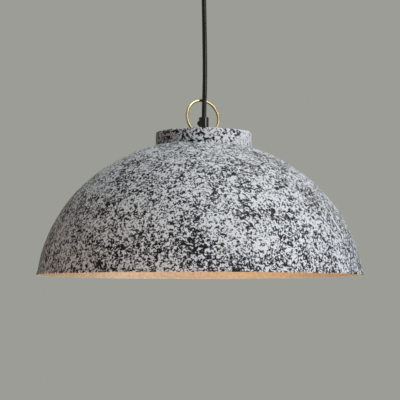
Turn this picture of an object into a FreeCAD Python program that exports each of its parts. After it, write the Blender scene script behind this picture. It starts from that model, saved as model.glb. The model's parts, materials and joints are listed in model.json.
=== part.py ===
import FreeCAD, Part
import math
import os
import re
import Sketcher

# A pendant lamp: a flecked papier-mache dome with a short collar on its crown, hung mouth down on a cord.
# Everything is in millimetres. The ceiling is the plane Z = 0, the lamp hangs below it, and the cord, the
# collar and the lampholder share the axis X = Y = 0. The dome was laid up a little off that axis.

doc = FreeCAD.newDocument("BowlPendant")
V = FreeCAD.Vector

# ---------------------------------------------------------------- driving sizes

sizes = {
    # dome: the outside is an ellipse whose centre lies below the rim
    "domeHalfWidth": 226.0,
    "domeHalfRise": 210.0,
    "domeCut": 21.0,  # how far the rim lies above the ellipse's centre
    "domeShift": 5.5,  # how far the dome lies off the axis of the cord, towards -X
    "shadeWall": 4.5,
    "lipReach": 0.8,
    "lipBand": 3.0,
    "lipRise": 8.0,
    "lipRound": 1.3,
    "crownOpening": 52.0,
    # collar and the disc that closes it
    "collarRadius": 67.6,
    "collarWall": 6.1,
    "collarRound": 3.0,
    "dishDepth": 10.3,
    "discThickness": 6.0,
    "discRound": 1.0,
    "glueGap": 0.1,
    "discGap": 0.3,
    # hardware on the threaded tube
    "tubeRadius": 5.0,
    "tubeBore": 4.0,
    "tubeFit": 0.05,
    "tubeInGrip": 7.0,
    "tubeInHolder": 9.0,
    "topWasherRadius": 22.0,
    "underWasherRadius": 28.0,
    "washerThickness": 2.0,
    "nutFlats": 17.0,
    "nutHeight": 5.0,
    "nutBevel": 0.9,
    "bossRadius": 10.0,
    "bossHeight": 11.8,
    "bossNeck": 8.6,
    "bossNeckHeight": 2.4,
    "bossBevel": 0.8,
    "bossBand": 1.0,
    "bossStep": 0.4,
    # brass ring
    "ringRadius": 25.0,
    "ringWire": 2.1,
    "ringSink": 3.0,  # how far the ring's circle dips below its pivot
    "ringBend": 4.0,
    "ringPinStart": 5.7,
    "ringPivotRise": 8.3,
    "ringYaw": 28.7,
    "ringLean": 7.3,
    "pinFit": 0.05,
    # cord grips
    "gripRadius": 6.95,
    "gripHeight": 18.3,
    "gripRound": 0.8,
    "gripSocket": 7.6,
    "gripScrewRise": 9.9,
    "screwShank": 2.0,
    "screwHead": 3.4,
    "screwHeadHeight": 2.4,
    "screwFit": 0.08,
    "cordRadius": 3.25,
    "cordSlip": 0.2,
    "cordDrop": 171.0,
    "cordEndBelowTube": 1.5,
    "cordEndInCanopy": 1.0,
    # lampholder
    "capHeight": 27.0,
    "capRadius": 19.5,
    "capNeck": 8.6,
    "capNeckHeight": 9.0,
    "capSide": 11.0,
    "plasticWall": 2.0,
    "capShoulder": 4.0,
    "capThroat": 2.0,
    "grubRadius": 1.5,
    "skirtHeight": 34.0,
    "skirtFlange": 8.0,
    "skirtRadius": 18.6,
    "skirtStep": 0.8,
    "skirtRoom": 1.0,
    "fluteRadius": 1.2,
    "fluteDepth": 0.5,
    "fluteStart": 2.5,
    "flutes": 24,
    "insertHeight": 11.0,
    "insertRise": 4.0,
    "insertGap": 0.2,
    "holderScrewSpot": 8.0,
    "holderScrewHead": 2.4,
    "wireWellDepth": 6.0,
    "wireWellRoom": 3.0,
    "leadRoom": 2.2,
    "holderBore": 13.0,
    "holderShellWall": 0.5,
    "holderShellHeight": 22.0,
    "holderShellLip": 4.0,
    "centreSpringWidth": 6.0,
    "springThickness": 0.6,
    "springReach": 1.6,
    # bulb
    "bulbFit": 0.3,
    "bulbGap": 0.3,
    "bulbRadius": 30.0,
    "bulbLength": 105.0,
    "bulbCapLength": 22.0,
    "bulbCapWall": 0.4,
    "bulbNeck": 12.2,
    "bulbNeckRound": 12.0,
    "bulbNeckDrop": 2.0,
    "bulbNeckInCap": 4.0,
    "bulbCapShoulder": 2.5,
    "bulbGlassWall": 0.9,
    "bulbTipHeight": 1.4,
    "bulbTipRadius": 4.6,
    "bulbInsulatorHeight": 4.0,
    "bulbInsulatorGap": 0.1,
    # ceiling fitting
    "canopyRadius": 50.0,
    "canopyHeight": 45.0,
    "canopyWall": 2.0,
    "canopyRound": 9.0,
    "outletLength": 18.0,
    "outletRadius": 8.0,
    "outletStem": 7.5,
    "outletFlare": 0.8,
    "outletFlareHeight": 3.0,
    "bellDepth": 8.0,
    "bellMouth": 6.0,
    "swayRoom": 0.45,
    "outletScrewRise": 13.0,
    "outletNutHeight": 4.0,
    "outletNutFlats": 14.0,
    "bracketWidth": 20.0,
    "bracketThickness": 2.0,
    "bracketBend": 2.0,
    "earDrop": 16.0,
    "earGap": 0.4,
    "slotSpacing": 60.0,
    "slotLength": 12.0,
    "slotWidth": 4.5,
    "cableEntry": 7.0,
    "sideScrewDrop": 9.0,
    "sideScrewRadius": 2.0,
    "sideScrewHead": 4.5,
    "sideScrewHeadHeight": 3.5,
    "sideScrewEnd": 1.0,
    "tabWidth": 22.0,
    "tabDrop": 20.0,
    # terminal block
    "blockDrop": 4.0,
    "blockHeight": 16.0,
    "blockDepth": 14.0,
    "blockWidth": 22.0,
    "poleInset": 6.0,
    "barrelRadius": 3.2,
    "barrelBore": 1.6,
    "barrelDepth": 7.5,
    "barrelFit": 0.05,
    "terminalScrew": 1.4,
    "terminalScrewInset": 4.5,
    "terminalHeadRadius": 1.9,
    "terminalHeadHeight": 1.6,
    "terminalHeadSink": 1.0,
    "blockRound": 1.0,
    "edgeBevel": 0.6,
    "softEdge": 0.8,
    "seatGap": 0.3,
    "leadRadius": 0.9,
    "leadApart": 1.3,
}

sheet = doc.addObject("Spreadsheet::Sheet", "Sizes")
for row, (alias, number) in enumerate(sizes.items(), 1):
    sheet.set(f"A{row}", alias)
    sheet.set(f"B{row}", str(number))
    sheet.setAlias(f"B{row}", alias)
doc.recompute()

# ---------------------------------------------------------------- heights that follow from them

owner = dict.fromkeys(sizes, "Sizes.")
levels = doc.addObject("App::VarSet", "Levels")


def ref(text):
    # puts the sheet's or the levels' name in front of each alias in a formula
    return re.sub(r"[A-Za-z]\w*", lambda word: owner.get(word[0], "") + word[0], str(text))


def value(text):
    return float(sheet.evalExpression(ref(text)))


def level(name, text):
    levels.addProperty("App::PropertyFloat", name)
    levels.setExpression(name, ref(text))
    owner[name] = "Levels."
    doc.recompute()


level("outletFoot", "-(canopyHeight + outletLength)")
level("swayPivot", "outletFoot + bellDepth")
level("gripTop", "outletFoot - cordDrop")
level("bossTop", "gripTop - gripHeight")
level("bossFoot", "bossTop - bossHeight")
level("ringPivot", "bossFoot + ringPivotRise")
level("discTop", "bossFoot - washerThickness")
level("discFoot", "discTop - discThickness")
level("crownRise", "domeHalfRise * sqrt(1 - (crownOpening / domeHalfWidth)^2) - domeCut")
level("rimLevel", "discFoot - glueGap - crownRise")
level("collarRise", "crownRise + glueGap + discThickness + dishDepth")
level("rimRadius", "domeHalfWidth * sqrt(1 - (domeCut / domeHalfRise)^2)")
level("nutFoot", "discFoot - washerThickness - nutHeight")
level("capFoot", "nutFoot - capHeight")
level("skirtTop", "capFoot")
level("skirtFootLevel", "skirtTop - skirtHeight")
level("insertFoot", "skirtTop + insertRise - insertHeight")
level("bulbTop", "insertFoot - springReach - bulbGap")
level("bulbCapFoot", "bulbTop - bulbTipHeight - bulbInsulatorHeight - bulbCapLength")
level("bulbFoot", "bulbTop - bulbLength")
level("bulbCapRadius", "holderBore - bulbFit")
level("earFace", "sqrt((canopyRadius - canopyWall - earGap)^2 - (bracketWidth / 2)^2)")
level("blockFoot", "-(blockDrop + blockHeight)")

# ---------------------------------------------------------------- small helpers

subparts = []


def newBody(name, x="0", y="0", z="0", turn=None):
    body = doc.addObject("PartDesign::Body", name)
    body.Label = name
    if turn:
        body.Placement = FreeCAD.Placement(V(), turn)
    for axis, text in zip("xyz", (x, y, z)):
        if text != "0":
            body.setExpression(f"Placement.Base.{axis}", ref(text))
    subparts.append(body)
    return body


def sketchOn(body, role, name, offset=None):
    sketch = body.newObject("Sketcher::SketchObject", name)
    plane = next(f for f in body.Origin.OriginFeatures if f.Role == role)
    sketch.AttachmentSupport = [(plane, "")]
    sketch.MapMode = "FlatFace"
    if offset:
        sketch.setExpression(".AttachmentOffset.Base.z", ref(offset))
    return sketch


def limit(sketch, kind, text, *geometry):
    # a dimension that follows a formula
    number = sketch.addConstraint(Sketcher.Constraint(kind, *geometry, value(text)))
    sketch.setExpression(f"Constraints[{number}]", ref(text))


def join(sketch, kind, *geometry):
    sketch.addConstraint(Sketcher.Constraint(kind, *geometry))


def fixPoint(sketch, geometry, end, x, y):
    for kind, axis, text in (("DistanceX", -2, x), ("DistanceY", -1, y)):
        if str(text) == "0":
            join(sketch, "PointOnObject", geometry, end, axis)
        else:
            limit(sketch, kind, text, -1, 1, geometry, end)


def outline(sketch, corners):
    # a closed outline with straight sides; each corner is a pair of formulas, none of them negative
    spots = [V(value(x), value(y), 0) for x, y in corners]
    lines = [
        sketch.addGeometry(Part.LineSegment(a, b), False)
        for a, b in zip(spots, spots[1:] + spots[:1])
    ]
    for line, following in zip(lines, lines[1:] + lines[:1]):
        join(sketch, "Coincident", line, 2, following, 1)
    for line, (x, y) in zip(lines, corners):
        fixPoint(sketch, line, 1, x, y)


def mirroredOutline(sketch, corners):
    # the same, for an outline that is alike on both sides of the upright axis; corners are its right half
    right = [V(value(x), value(y), 0) for x, y in corners]
    left = [V(-p.x, p.y, 0) for p in reversed(right)]
    spots = right + left
    lines = [
        sketch.addGeometry(Part.LineSegment(a, b), False)
        for a, b in zip(spots, spots[1:] + spots[:1])
    ]
    for line, following in zip(lines, lines[1:] + lines[:1]):
        join(sketch, "Coincident", line, 2, following, 1)
    for n, (x, y) in enumerate(corners):
        fixPoint(sketch, lines[n], 1, x, y)
        join(sketch, "Symmetric", lines[n], 1, lines[len(spots) - 1 - n], 1, -2)


def circle(sketch, radius, x="0", y="0"):
    spot = V(value(x), value(y), 0)
    number = sketch.addGeometry(Part.Circle(spot, V(0, 0, 1), value(radius)), False)
    limit(sketch, "Radius", radius, number)
    if x == "0" and y == "0":
        join(sketch, "Coincident", number, 3, -1, 1)
    else:
        fixPoint(sketch, number, 3, x, y)
    return number


def ellipseArc(sketch, halfWidth, halfRise, start, end):
    # an arc of an ellipse whose centre is on the upright axis; start and end are points near its ends
    wide, high, drop = value(halfWidth), value(halfRise), value("domeCut")
    centre = V(0, -drop, 0)
    if wide >= high:
        curve = Part.Ellipse(centre, wide, high)
    else:
        curve = Part.Ellipse(V(0, high - drop, 0), V(wide, -drop, 0), centre)
    ends = [curve.parameter(start), curve.parameter(end)]
    arc = sketch.addGeometry(Part.ArcOfEllipse(curve, *ends), False)
    major = sketch.GeometryCount
    sketch.exposeInternalGeometry(arc)
    join(sketch, "Horizontal" if wide >= high else "Vertical", major)
    across, up = (major, major + 1) if wide >= high else (major + 1, major)
    limit(sketch, "Distance", f"2 * ({halfWidth})", across)
    limit(sketch, "Distance", f"2 * ({halfRise})", up)
    return arc


def onDome(inset, radius=None, height=None):
    # a point of the dome's outline, inset by a wall, at a radius or at a height above the rim
    wide = value("domeHalfWidth") - inset
    high = value("domeHalfRise") - inset
    drop = value("domeCut")
    if radius is not None:
        return V(radius, high * math.sqrt(1 - (radius / wide) ** 2) - drop, 0)
    return V(wide * math.sqrt(1 - ((height + drop) / high) ** 2), height, 0)


def revolve(body, sketch, name, kind="Revolution", axis="V_Axis"):
    turned = body.newObject(f"PartDesign::{kind}", name)
    turned.Profile = sketch
    turned.ReferenceAxis = (sketch, [axis])
    turned.Angle = 360
    doc.recompute()
    return turned


def pad(body, sketch, name, length, down=False, both=False):
    padded = body.newObject("PartDesign::Pad", name)
    padded.Profile = sketch
    padded.setExpression("Length", ref(length))
    padded.Reversed = down
    padded.Midplane = both
    doc.recompute()
    return padded


def pocket(body, sketch, name, length=None, flip=False, both=False):
    # cuts to a length, or right through both ways; it stops the build if it takes nothing away
    before = body.Shape.Volume
    cut = body.newObject("PartDesign::Pocket", name)
    cut.Profile = sketch
    if length is None:
        cut.Type = "ThroughAll"
        cut.Midplane = both
    else:
        cut.setExpression("Length", ref(length))
    cut.Reversed = flip
    doc.recompute()
    if not cut.Shape.Volume < before:
        raise ValueError(f"{body.Label}: {name} cuts nothing")
    return cut


def mirror(body, originals, name, role="YZ_Plane"):
    copy = body.newObject("PartDesign::Mirrored", name)
    copy.Originals = originals
    copy.MirrorPlane = (next(f for f in body.Origin.OriginFeatures if f.Role == role), [""])
    body.Tip = copy
    doc.recompute()
    return copy


def roundAt(radius, height):
    # picks the circular edge with this radius at this height
    def test(edge):
        middle = edge.BoundBox
        near = abs(middle.XLength / 2 - value(radius)) < 0.02 and middle.ZLength < 0.02
        return near and abs(middle.Center.z - value(height)) < 0.02

    return test


def soften(body, name, size, *tests, kind="Fillet"):
    base = body.Tip
    names = [
        f"Edge{n}"
        for n, edge in enumerate(base.Shape.Edges, 1)
        if any(test(edge) for test in tests)
    ]
    if not names:
        raise ValueError(f"{body.Label}: {name} finds no edge")
    soft = body.newObject(f"PartDesign::{kind}", name)
    soft.Base = (base, names)
    soft.setExpression("Radius" if kind == "Fillet" else "Size", ref(size))
    doc.recompute()
    return soft


def turnedBody(name, corners, x="0", y="0", z="0", turn=None, axis="V_Axis"):
    # a turned piece: its outline on one side of the axis, spun round
    body = newBody(name, x, y, z, turn)
    sketch = sketchOn(body, "XZ_Plane", f"{name}_outline")
    outline(sketch, corners)
    revolve(body, sketch, f"{name}_spin", axis=axis)
    return body


def sleeve(name, outer, bore, height, z):
    body = newBody(name, z=z)
    sketch = sketchOn(body, "XY_Plane", f"{name}_rings")
    circle(sketch, outer)
    circle(sketch, bore)
    pad(body, sketch, f"{name}_pad", height)
    return body


def hexNut(name, flats, height, bevel, z):
    # a nut on the threaded tube, with its six corners bevelled top and bottom
    body = newBody(name, z=z)
    block = body.newObject("PartDesign::AdditivePrism", f"{name}_block")
    block.Polygon = 6
    block.setExpression("Circumradius", ref(f"{flats} / sqrt(3)"))
    block.setExpression("Height", ref(height))
    doc.recompute()
    bore = sketchOn(body, "XY_Plane", f"{name}_bore")
    circle(bore, "tubeRadius + tubeFit")
    pocket(body, bore, f"{name}_through", both=True)
    for end, low, high in (("foot", "0", bevel), ("head", height, f"{height} - {bevel}")):
        edge = sketchOn(body, "XZ_Plane", f"{name}_{end}")
        beyond = f"{flats} / sqrt(3) + {bevel}"
        outline(edge, [(f"{flats} / 2", low), (beyond, low), (beyond, high)])
        revolve(body, edge, f"{name}_{end}_bevel", "Groove")
    return body


def tubeAlong(name, points, radius, endShare=0.45, roundEnd=None):
    # a cord: straight runs joined by arcs that touch them, each as large as its two runs allow
    edges, radii, start = [], [], points[0]
    for before, corner, after in zip(points, points[1:], points[2:]):
        back, ahead = before - corner, after - corner
        halfTurn = (math.pi - back.getAngle(ahead)) / 2
        shares = [endShare if end in (points[0], points[-1]) else 0.45 for end in (before, after)]
        reach = min(shares[0] * back.Length, shares[1] * ahead.Length)
        bend = reach / math.tan(halfTurn)
        radii.append(bend)
        back.normalize()
        ahead.normalize()
        enter, leave = corner + back * reach, corner + ahead * reach
        inward = back + ahead
        inward.normalize()
        middle = corner + inward * (bend / math.cos(halfTurn) - bend)
        edges += [Part.LineSegment(start, enter).toShape(), Part.Arc(enter, middle, leave).toShape()]
        start = leave
    edges.append(Part.LineSegment(start, points[-1]).toShape())
    path = Part.Wire(edges)
    section = Part.Wire(Part.Circle(points[0], points[1] - points[0], radius).toShape())
    solid = path.makePipeShell([section], True, True)
    share = solid.Volume / (math.pi * radius**2 * path.Length)
    bends = [round(r) for r in radii]
    print(f"{name}: {path.Length:.1f} long, bends {bends}, volume {share:.4f} of its section")
    if roundEnd is not None:
        solid = solid.fuse(Part.makeSphere(radius, roundEnd)).removeSplitter()
    cord = doc.addObject("Part::Feature", name)
    cord.Label = name
    cord.Shape = solid
    subparts.append(cord)
    return cord


# ---------------------------------------------------------------- ceiling fitting


def makeBracket():
    # a steel strip against the ceiling, its ends bent down to take the canopy's screws
    body = newBody("ceiling_bracket", z="-earDrop")
    inside = "earFace - bracketThickness"
    under = "earDrop - bracketThickness"
    strip = sketchOn(body, "XZ_Plane", "strip_side")
    mirroredOutline(strip, [(inside, under), (inside, "0"), ("earFace", "0"), ("earFace", "earDrop")])
    pad(body, strip, "strip", "bracketWidth", both=True)

    def bend(x, z):
        def test(edge):
            middle = edge.CenterOfMass
            across = edge.BoundBox.YLength > value("bracketWidth") - 0.01
            return across and abs(abs(middle.x) - value(x)) < 0.01 and abs(middle.z - value(z)) < 0.01

        return test

    soften(body, "outer_bends", "bracketBend + bracketThickness", bend("earFace", "earDrop"))
    soften(body, "inner_bends", "bracketBend", bend(inside, under))
    slot = sketchOn(body, "XY_Plane", "slot_outline")
    half, radius = "(slotLength - slotWidth) / 2", "slotWidth / 2"
    middle, run, r = value("slotSpacing / 2"), value(half), value(radius)
    arcs = [
        Part.ArcOfCircle(Part.Circle(V(middle + side * run, 0, 0), V(0, 0, 1), r), *turn)
        for side, turn in ((1, (-math.pi / 2, math.pi / 2)), (-1, (math.pi / 2, 3 * math.pi / 2)))
    ]
    far, near = (slot.addGeometry(arc, False) for arc in arcs)
    top, low = (
        slot.addGeometry(Part.LineSegment(V(middle + a * run, b * r, 0), V(middle - a * run, b * r, 0)), False)
        for a, b in ((1, 1), (-1, -1))
    )
    for line, first, second in ((top, far, near), (low, near, far)):
        join(slot, "Tangent", first, 2, line, 1)
        join(slot, "Tangent", line, 2, second, 1)
    join(slot, "Horizontal", top)
    join(slot, "Horizontal", low)
    limit(slot, "Radius", radius, far)
    fixPoint(slot, far, 3, f"slotSpacing / 2 + {half}", "0")
    limit(slot, "DistanceX", f"slotSpacing / 2 - {half}", -1, 1, near, 3)
    cut = pocket(body, slot, "slot", flip=True)
    mirror(body, [cut], "slots")
    entry = sketchOn(body, "XY_Plane", "cable_hole")
    circle(entry, "cableEntry")
    pocket(body, entry, "cable_entry", flip=True)
    ears = sketchOn(body, "YZ_Plane", "ear_holes")
    circle(ears, "sideScrewRadius + screwFit", y="earDrop - sideScrewDrop")
    pocket(body, ears, "ear_threads", both=True)
    tab = sketchOn(body, "XY_Plane", "tab_foot", "earDrop - tabDrop")
    tabFace = "bracketWidth / 2 - bracketThickness"
    mirroredOutline(tab, [("tabWidth / 2", tabFace), ("tabWidth / 2", "bracketWidth / 2")])
    pad(body, tab, "tab", "tabDrop")
    hold = sketchOn(body, "XZ_Plane", "tab_hole", "-bracketWidth / 2")
    hold.setExpression(".AttachmentOffset.Base.y", ref("earDrop + blockFoot + blockHeight / 2"))
    circle(hold, "terminalScrew + screwFit")
    pocket(body, hold, "tab_thread", "bracketThickness", flip=True)
    return body


def makeCanopy():
    body = turnedBody(
        "ceiling_canopy",
        [
            ("tubeRadius + cordSlip", "0"),
            ("canopyRadius", "0"),
            ("canopyRadius", "canopyHeight"),
            ("canopyRadius - canopyWall", "canopyHeight"),
            ("canopyRadius - canopyWall", "canopyWall"),
            ("tubeRadius + cordSlip", "canopyWall"),
        ],
        z="-canopyHeight",
    )
    soften(body, "outer_round", "canopyRound", roundAt("canopyRadius", "0"))
    soften(body, "inner_round", "canopyRound - canopyWall", roundAt("canopyRadius - canopyWall", "canopyWall"))
    holes = sketchOn(body, "YZ_Plane", "side_holes")
    circle(holes, "sideScrewRadius + cordSlip", y="canopyHeight - sideScrewDrop")
    pocket(body, holes, "side_holes_cut", both=True)


def makeCanopyScrews():
    # two screws from the sides, each with a knurled head flat against the canopy
    body = newBody("canopy_screws", z="-sideScrewDrop")
    body.AllowCompound = True
    side = sketchOn(body, "XZ_Plane", "screw_side")
    start = "earFace - bracketThickness - sideScrewEnd"
    outline(
        side,
        [
            (start, "0"),
            ("canopyRadius + sideScrewHeadHeight", "0"),
            ("canopyRadius + sideScrewHeadHeight", "sideScrewHead - edgeBevel"),
            ("canopyRadius + sideScrewHeadHeight - edgeBevel", "sideScrewHead"),
            ("canopyRadius", "sideScrewHead"),
            ("canopyRadius", "sideScrewRadius"),
            (start, "sideScrewRadius"),
        ],
    )
    screw = revolve(body, side, "screw", axis="H_Axis")
    mirror(body, [screw], "both_screws")


def gripHole(body, name, height):
    # the threaded hole in a grip's left side for its screw
    side = sketchOn(body, "YZ_Plane", f"{name}_spot")
    circle(side, "screwShank + screwFit", y=height)
    pocket(body, side, name, "outletRadius + seatGap", flip=False)


def gripScrew(name, outside, z):
    # a plastic screw with a domed head that stands on the grip's left side and presses on the cord
    body = newBody(name, z=z, turn=FreeCAD.Rotation(V(0, 0, 1), 180))
    side = sketchOn(body, "XZ_Plane", f"{name}_side")
    tip = "cordRadius + cordSlip / 2"
    outline(
        side,
        [
            (tip, "0"),
            (f"{outside} + screwHeadHeight", "0"),
            (f"{outside} + screwHeadHeight", "screwHead * 0.45"),
            (f"{outside} + screwHeadHeight * 0.72", "screwHead * 0.82"),
            (f"{outside} + screwHeadHeight * 0.25", "screwHead"),
            (outside, "screwHead"),
            (outside, "screwShank"),
            (tip, "screwShank"),
        ],
    )
    revolve(body, side, f"{name}_spin", axis="H_Axis")


def makeCanopyGrip():
    # the cord's way out of the canopy: a stem through the canopy, and a mouth that flares so the cord can sway
    bore = "cordRadius + cordSlip"
    throat = "cordRadius + swayRoom"
    body = turnedBody(
        "canopy_grip",
        [
            ("bellMouth", "0"),
            ("outletRadius - outletFlare", "0"),
            ("outletRadius", "outletFlareHeight"),
            ("outletRadius", "outletLength"),
            ("tubeRadius", "outletLength"),
            ("tubeRadius", "outletLength + outletStem"),
            (bore, "outletLength + outletStem"),
            (bore, "bellDepth + cordRadius"),
            (throat, "bellDepth"),
        ],
        z="outletFoot",
    )
    gripHole(body, "screw_hole", "outletScrewRise")


def makeTerminalBlock():
    # a two-pole block against the bracket's tab; its barrels stand upright, house wires above, leads below
    place = {"x": "-blockWidth / 2", "y": "bracketWidth / 2", "z": "blockFoot"}
    farPole = "blockWidth - poleInset"
    upper = "blockHeight - terminalScrewInset"
    body = newBody("terminal_block", **place)
    foot = sketchOn(body, "XY_Plane", "block_foot")
    outline(foot, [("0", "0"), ("blockWidth", "0"), ("blockWidth", "blockDepth"), ("0", "blockDepth")])
    pad(body, foot, "block", "blockHeight")
    soften(
        body,
        "block_corners",
        "blockRound",
        lambda edge: edge.BoundBox.ZLength > value("blockHeight") - 0.01 and edge.CenterOfMass.y > 1,
    )
    barrels = sketchOn(body, "XY_Plane", "barrel_spots")
    for x in ("poleInset", farPole):
        circle(barrels, "barrelRadius + barrelFit", x, "blockDepth / 2")
    pocket(body, barrels, "barrel_holes", both=True)
    front = sketchOn(body, "XZ_Plane", "screw_spots", "-blockDepth")
    for x in ("poleInset", farPole):
        for y in ("terminalScrewInset", upper):
            circle(front, "terminalHeadRadius + cordSlip", x, y)
    pocket(body, front, "screw_wells", "terminalHeadSink + terminalHeadHeight + seatGap", flip=True)
    ways = sketchOn(body, "XZ_Plane", "screw_ways", "-blockDepth")
    for x in ("poleInset", farPole):
        for y in ("terminalScrewInset", upper):
            circle(ways, "terminalScrew + screwFit", x, y)
    pocket(body, ways, "screw_ways_cut", "blockDepth / 2", flip=True)
    middle = sketchOn(body, "XZ_Plane", "fixing_spot", "-blockDepth")
    circle(middle, "terminalScrew + screwFit", "blockWidth / 2", "blockHeight / 2")
    pocket(body, middle, "fixing_hole", "blockDepth", flip=True)

    barrel = newBody("terminal_barrels", **place)
    barrel.AllowCompound = True
    rounds = sketchOn(barrel, "XY_Plane", "barrel_rounds")
    for x in ("poleInset", farPole):
        circle(rounds, "barrelRadius", x, "blockDepth / 2")
    pad(barrel, rounds, "barrels", "blockHeight")
    for name, height, flip in (("lead_bores", "0", True), ("supply_bores", "blockHeight", False)):
        ends = sketchOn(barrel, "XY_Plane", f"{name}_spots", height if height != "0" else None)
        for x in ("poleInset", farPole):
            circle(ends, "barrelBore", x, "blockDepth / 2")
        pocket(barrel, ends, name, "barrelDepth", flip=flip)
    taps = sketchOn(barrel, "XZ_Plane", "tap_spots", "-blockDepth")
    for x in ("poleInset", farPole):
        for y in ("terminalScrewInset", upper):
            circle(taps, "terminalScrew + screwFit", x, y)
    pocket(barrel, taps, "taps", "blockDepth / 2", flip=True)

    screws = newBody("terminal_screws", **place)
    screws.AllowCompound = True
    heads = sketchOn(screws, "XZ_Plane", "head_spots", "-(blockDepth - terminalHeadSink)")
    shanks = sketchOn(screws, "XZ_Plane", "shank_spots", "-(blockDepth - terminalHeadSink)")
    for x in ("poleInset", farPole):
        for y in ("terminalScrewInset", upper):
            circle(heads, "terminalHeadRadius", x, y)
            circle(shanks, "terminalScrew", x, y)
    pad(screws, heads, "heads", "terminalHeadHeight")
    pad(screws, shanks, "shanks", "blockDepth / 2 - terminalHeadSink - barrelBore - seatGap")

    fixing = newBody("block_fixing_screw", **place)
    head = sketchOn(fixing, "XZ_Plane", "fixing_head", "-(blockDepth + terminalHeadHeight)")
    circle(head, "terminalHeadRadius", "blockWidth / 2", "blockHeight / 2")
    pad(fixing, head, "fixing_head_pad", "terminalHeadHeight")
    shank = sketchOn(fixing, "XZ_Plane", "fixing_shank", "-blockDepth")
    circle(shank, "terminalScrew", "blockWidth / 2", "blockHeight / 2")
    pad(fixing, shank, "fixing_shank_pad", "blockDepth + bracketThickness")


# ---------------------------------------------------------------- shade


def makeDome():
    # a shell between two ellipses, open at the crown, with a small lip turned out at its rim
    wall = value("shadeWall")
    body = newBody("shade_dome", x="-domeShift", z="rimLevel")
    side = sketchOn(body, "XZ_Plane", "dome_outline")
    opening = value("crownOpening")
    lipTop, crownOut = onDome(0, height=value("lipRise")), onDome(0, radius=opening)
    rimIn, crownIn = onDome(wall, height=0), onDome(wall, radius=opening)
    reach = value("rimRadius + lipReach")
    outer = ellipseArc(side, "domeHalfWidth", "domeHalfRise", lipTop, crownOut)
    inner = ellipseArc(side, "domeHalfWidth - shadeWall", "domeHalfRise - shadeWall", rimIn, crownIn)
    straight = [(crownOut, crownIn), (rimIn, V(reach, 0, 0)), (V(reach, 0, 0), V(reach, value("lipBand"), 0))]
    straight.append((straight[-1][1], lipTop))
    crown, foot, band, flare = (side.addGeometry(Part.LineSegment(*ends), False) for ends in straight)
    join(side, "PointOnObject", outer, 3, -2)
    join(side, "Coincident", outer, 3, inner, 3)
    limit(side, "DistanceY", "domeCut", outer, 3, -1, 1)
    for first, end, second, start in (
        (outer, 2, crown, 1),
        (crown, 2, inner, 2),
        (inner, 1, foot, 1),
        (foot, 2, band, 1),
        (band, 2, flare, 1),
        (flare, 2, outer, 1),
    ):
        join(side, "Coincident", first, end, second, start)
    join(side, "Vertical", crown)
    join(side, "Horizontal", foot)
    join(side, "Vertical", band)
    join(side, "PointOnObject", foot, 1, -1)
    limit(side, "DistanceX", "crownOpening", -1, 1, crown, 1)
    limit(side, "DistanceY", "lipRise", -1, 1, flare, 2)
    limit(side, "DistanceY", "lipBand", band, 1, band, 2)
    limit(side, "DistanceX", "rimRadius + lipReach", -1, 1, band, 1)
    revolve(body, side, "dome_spin")
    soften(
        body,
        "lip_round",
        "lipRound",
        roundAt("rimRadius + lipReach", "0"),
        roundAt("rimRadius + lipReach", "lipBand"),
        lambda edge: edge.BoundBox.ZLength < 0.01
        and abs(edge.BoundBox.Center.z) < 0.01
        and edge.BoundBox.XLength / 2 < value("rimRadius") - wall / 2,
    )


def makeCollar():
    # a band glued on the crown, its foot cut to the dome's own curve; it shares the dome's frame
    body = newBody("shade_collar", x="-domeShift", z="rimLevel")
    rings = sketchOn(body, "XY_Plane", "collar_rings", "crownRise - collarRadius / 2")
    circle(rings, "collarRadius", x="domeShift")
    circle(rings, "collarRadius - collarWall", x="domeShift")
    pad(body, rings, "collar_band", "collarRise - crownRise + collarRadius / 2")
    before = body.Shape.Volume
    under = sketchOn(body, "XZ_Plane", "dome_under_collar")
    gap = -value("glueGap")
    beyond, depth = "collarRadius + domeShift + 4", "crownRise - collarRadius / 2 - 4"
    top, end = onDome(gap, radius=0), onDome(gap, radius=value(beyond))
    low = [V(value(beyond), value(depth), 0), V(0, value(depth), 0)]
    arc = ellipseArc(under, "domeHalfWidth + glueGap", "domeHalfRise + glueGap", end, top)
    sides = [(end, low[0]), (low[0], low[1]), (low[1], top)]
    wall, floor, axis = (under.addGeometry(Part.LineSegment(*ends), False) for ends in sides)
    join(under, "PointOnObject", arc, 3, -2)
    limit(under, "DistanceY", "domeCut", arc, 3, -1, 1)
    join(under, "Coincident", arc, 1, wall, 1)
    join(under, "Coincident", wall, 2, floor, 1)
    join(under, "Coincident", floor, 2, axis, 1)
    join(under, "Coincident", axis, 2, arc, 2)
    join(under, "Vertical", wall)
    fixPoint(under, floor, 1, beyond, depth)
    fixPoint(under, floor, 2, "0", depth)
    join(under, "PointOnObject", axis, 2, -2)
    cut = revolve(body, under, "seat_on_dome", "Groove")
    if not cut.Shape.Volume < before:
        raise ValueError("the collar's foot isn't cut")
    soften(body, "collar_edge", "collarRound", roundAt("collarRadius", "collarRise"))
    soften(body, "dish_edge", "collarRound / 2", roundAt("collarRadius - collarWall", "collarRise"))


def makeDisc():
    body = sleeve(
        "collar_disc",
        "collarRadius - collarWall - discGap",
        "tubeRadius + cordSlip",
        "discThickness",
        "discFoot",
    )
    soften(body, "disc_edge", "discRound", roundAt("collarRadius - collarWall - discGap", "discThickness"))


# ---------------------------------------------------------------- hanging hardware


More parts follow.
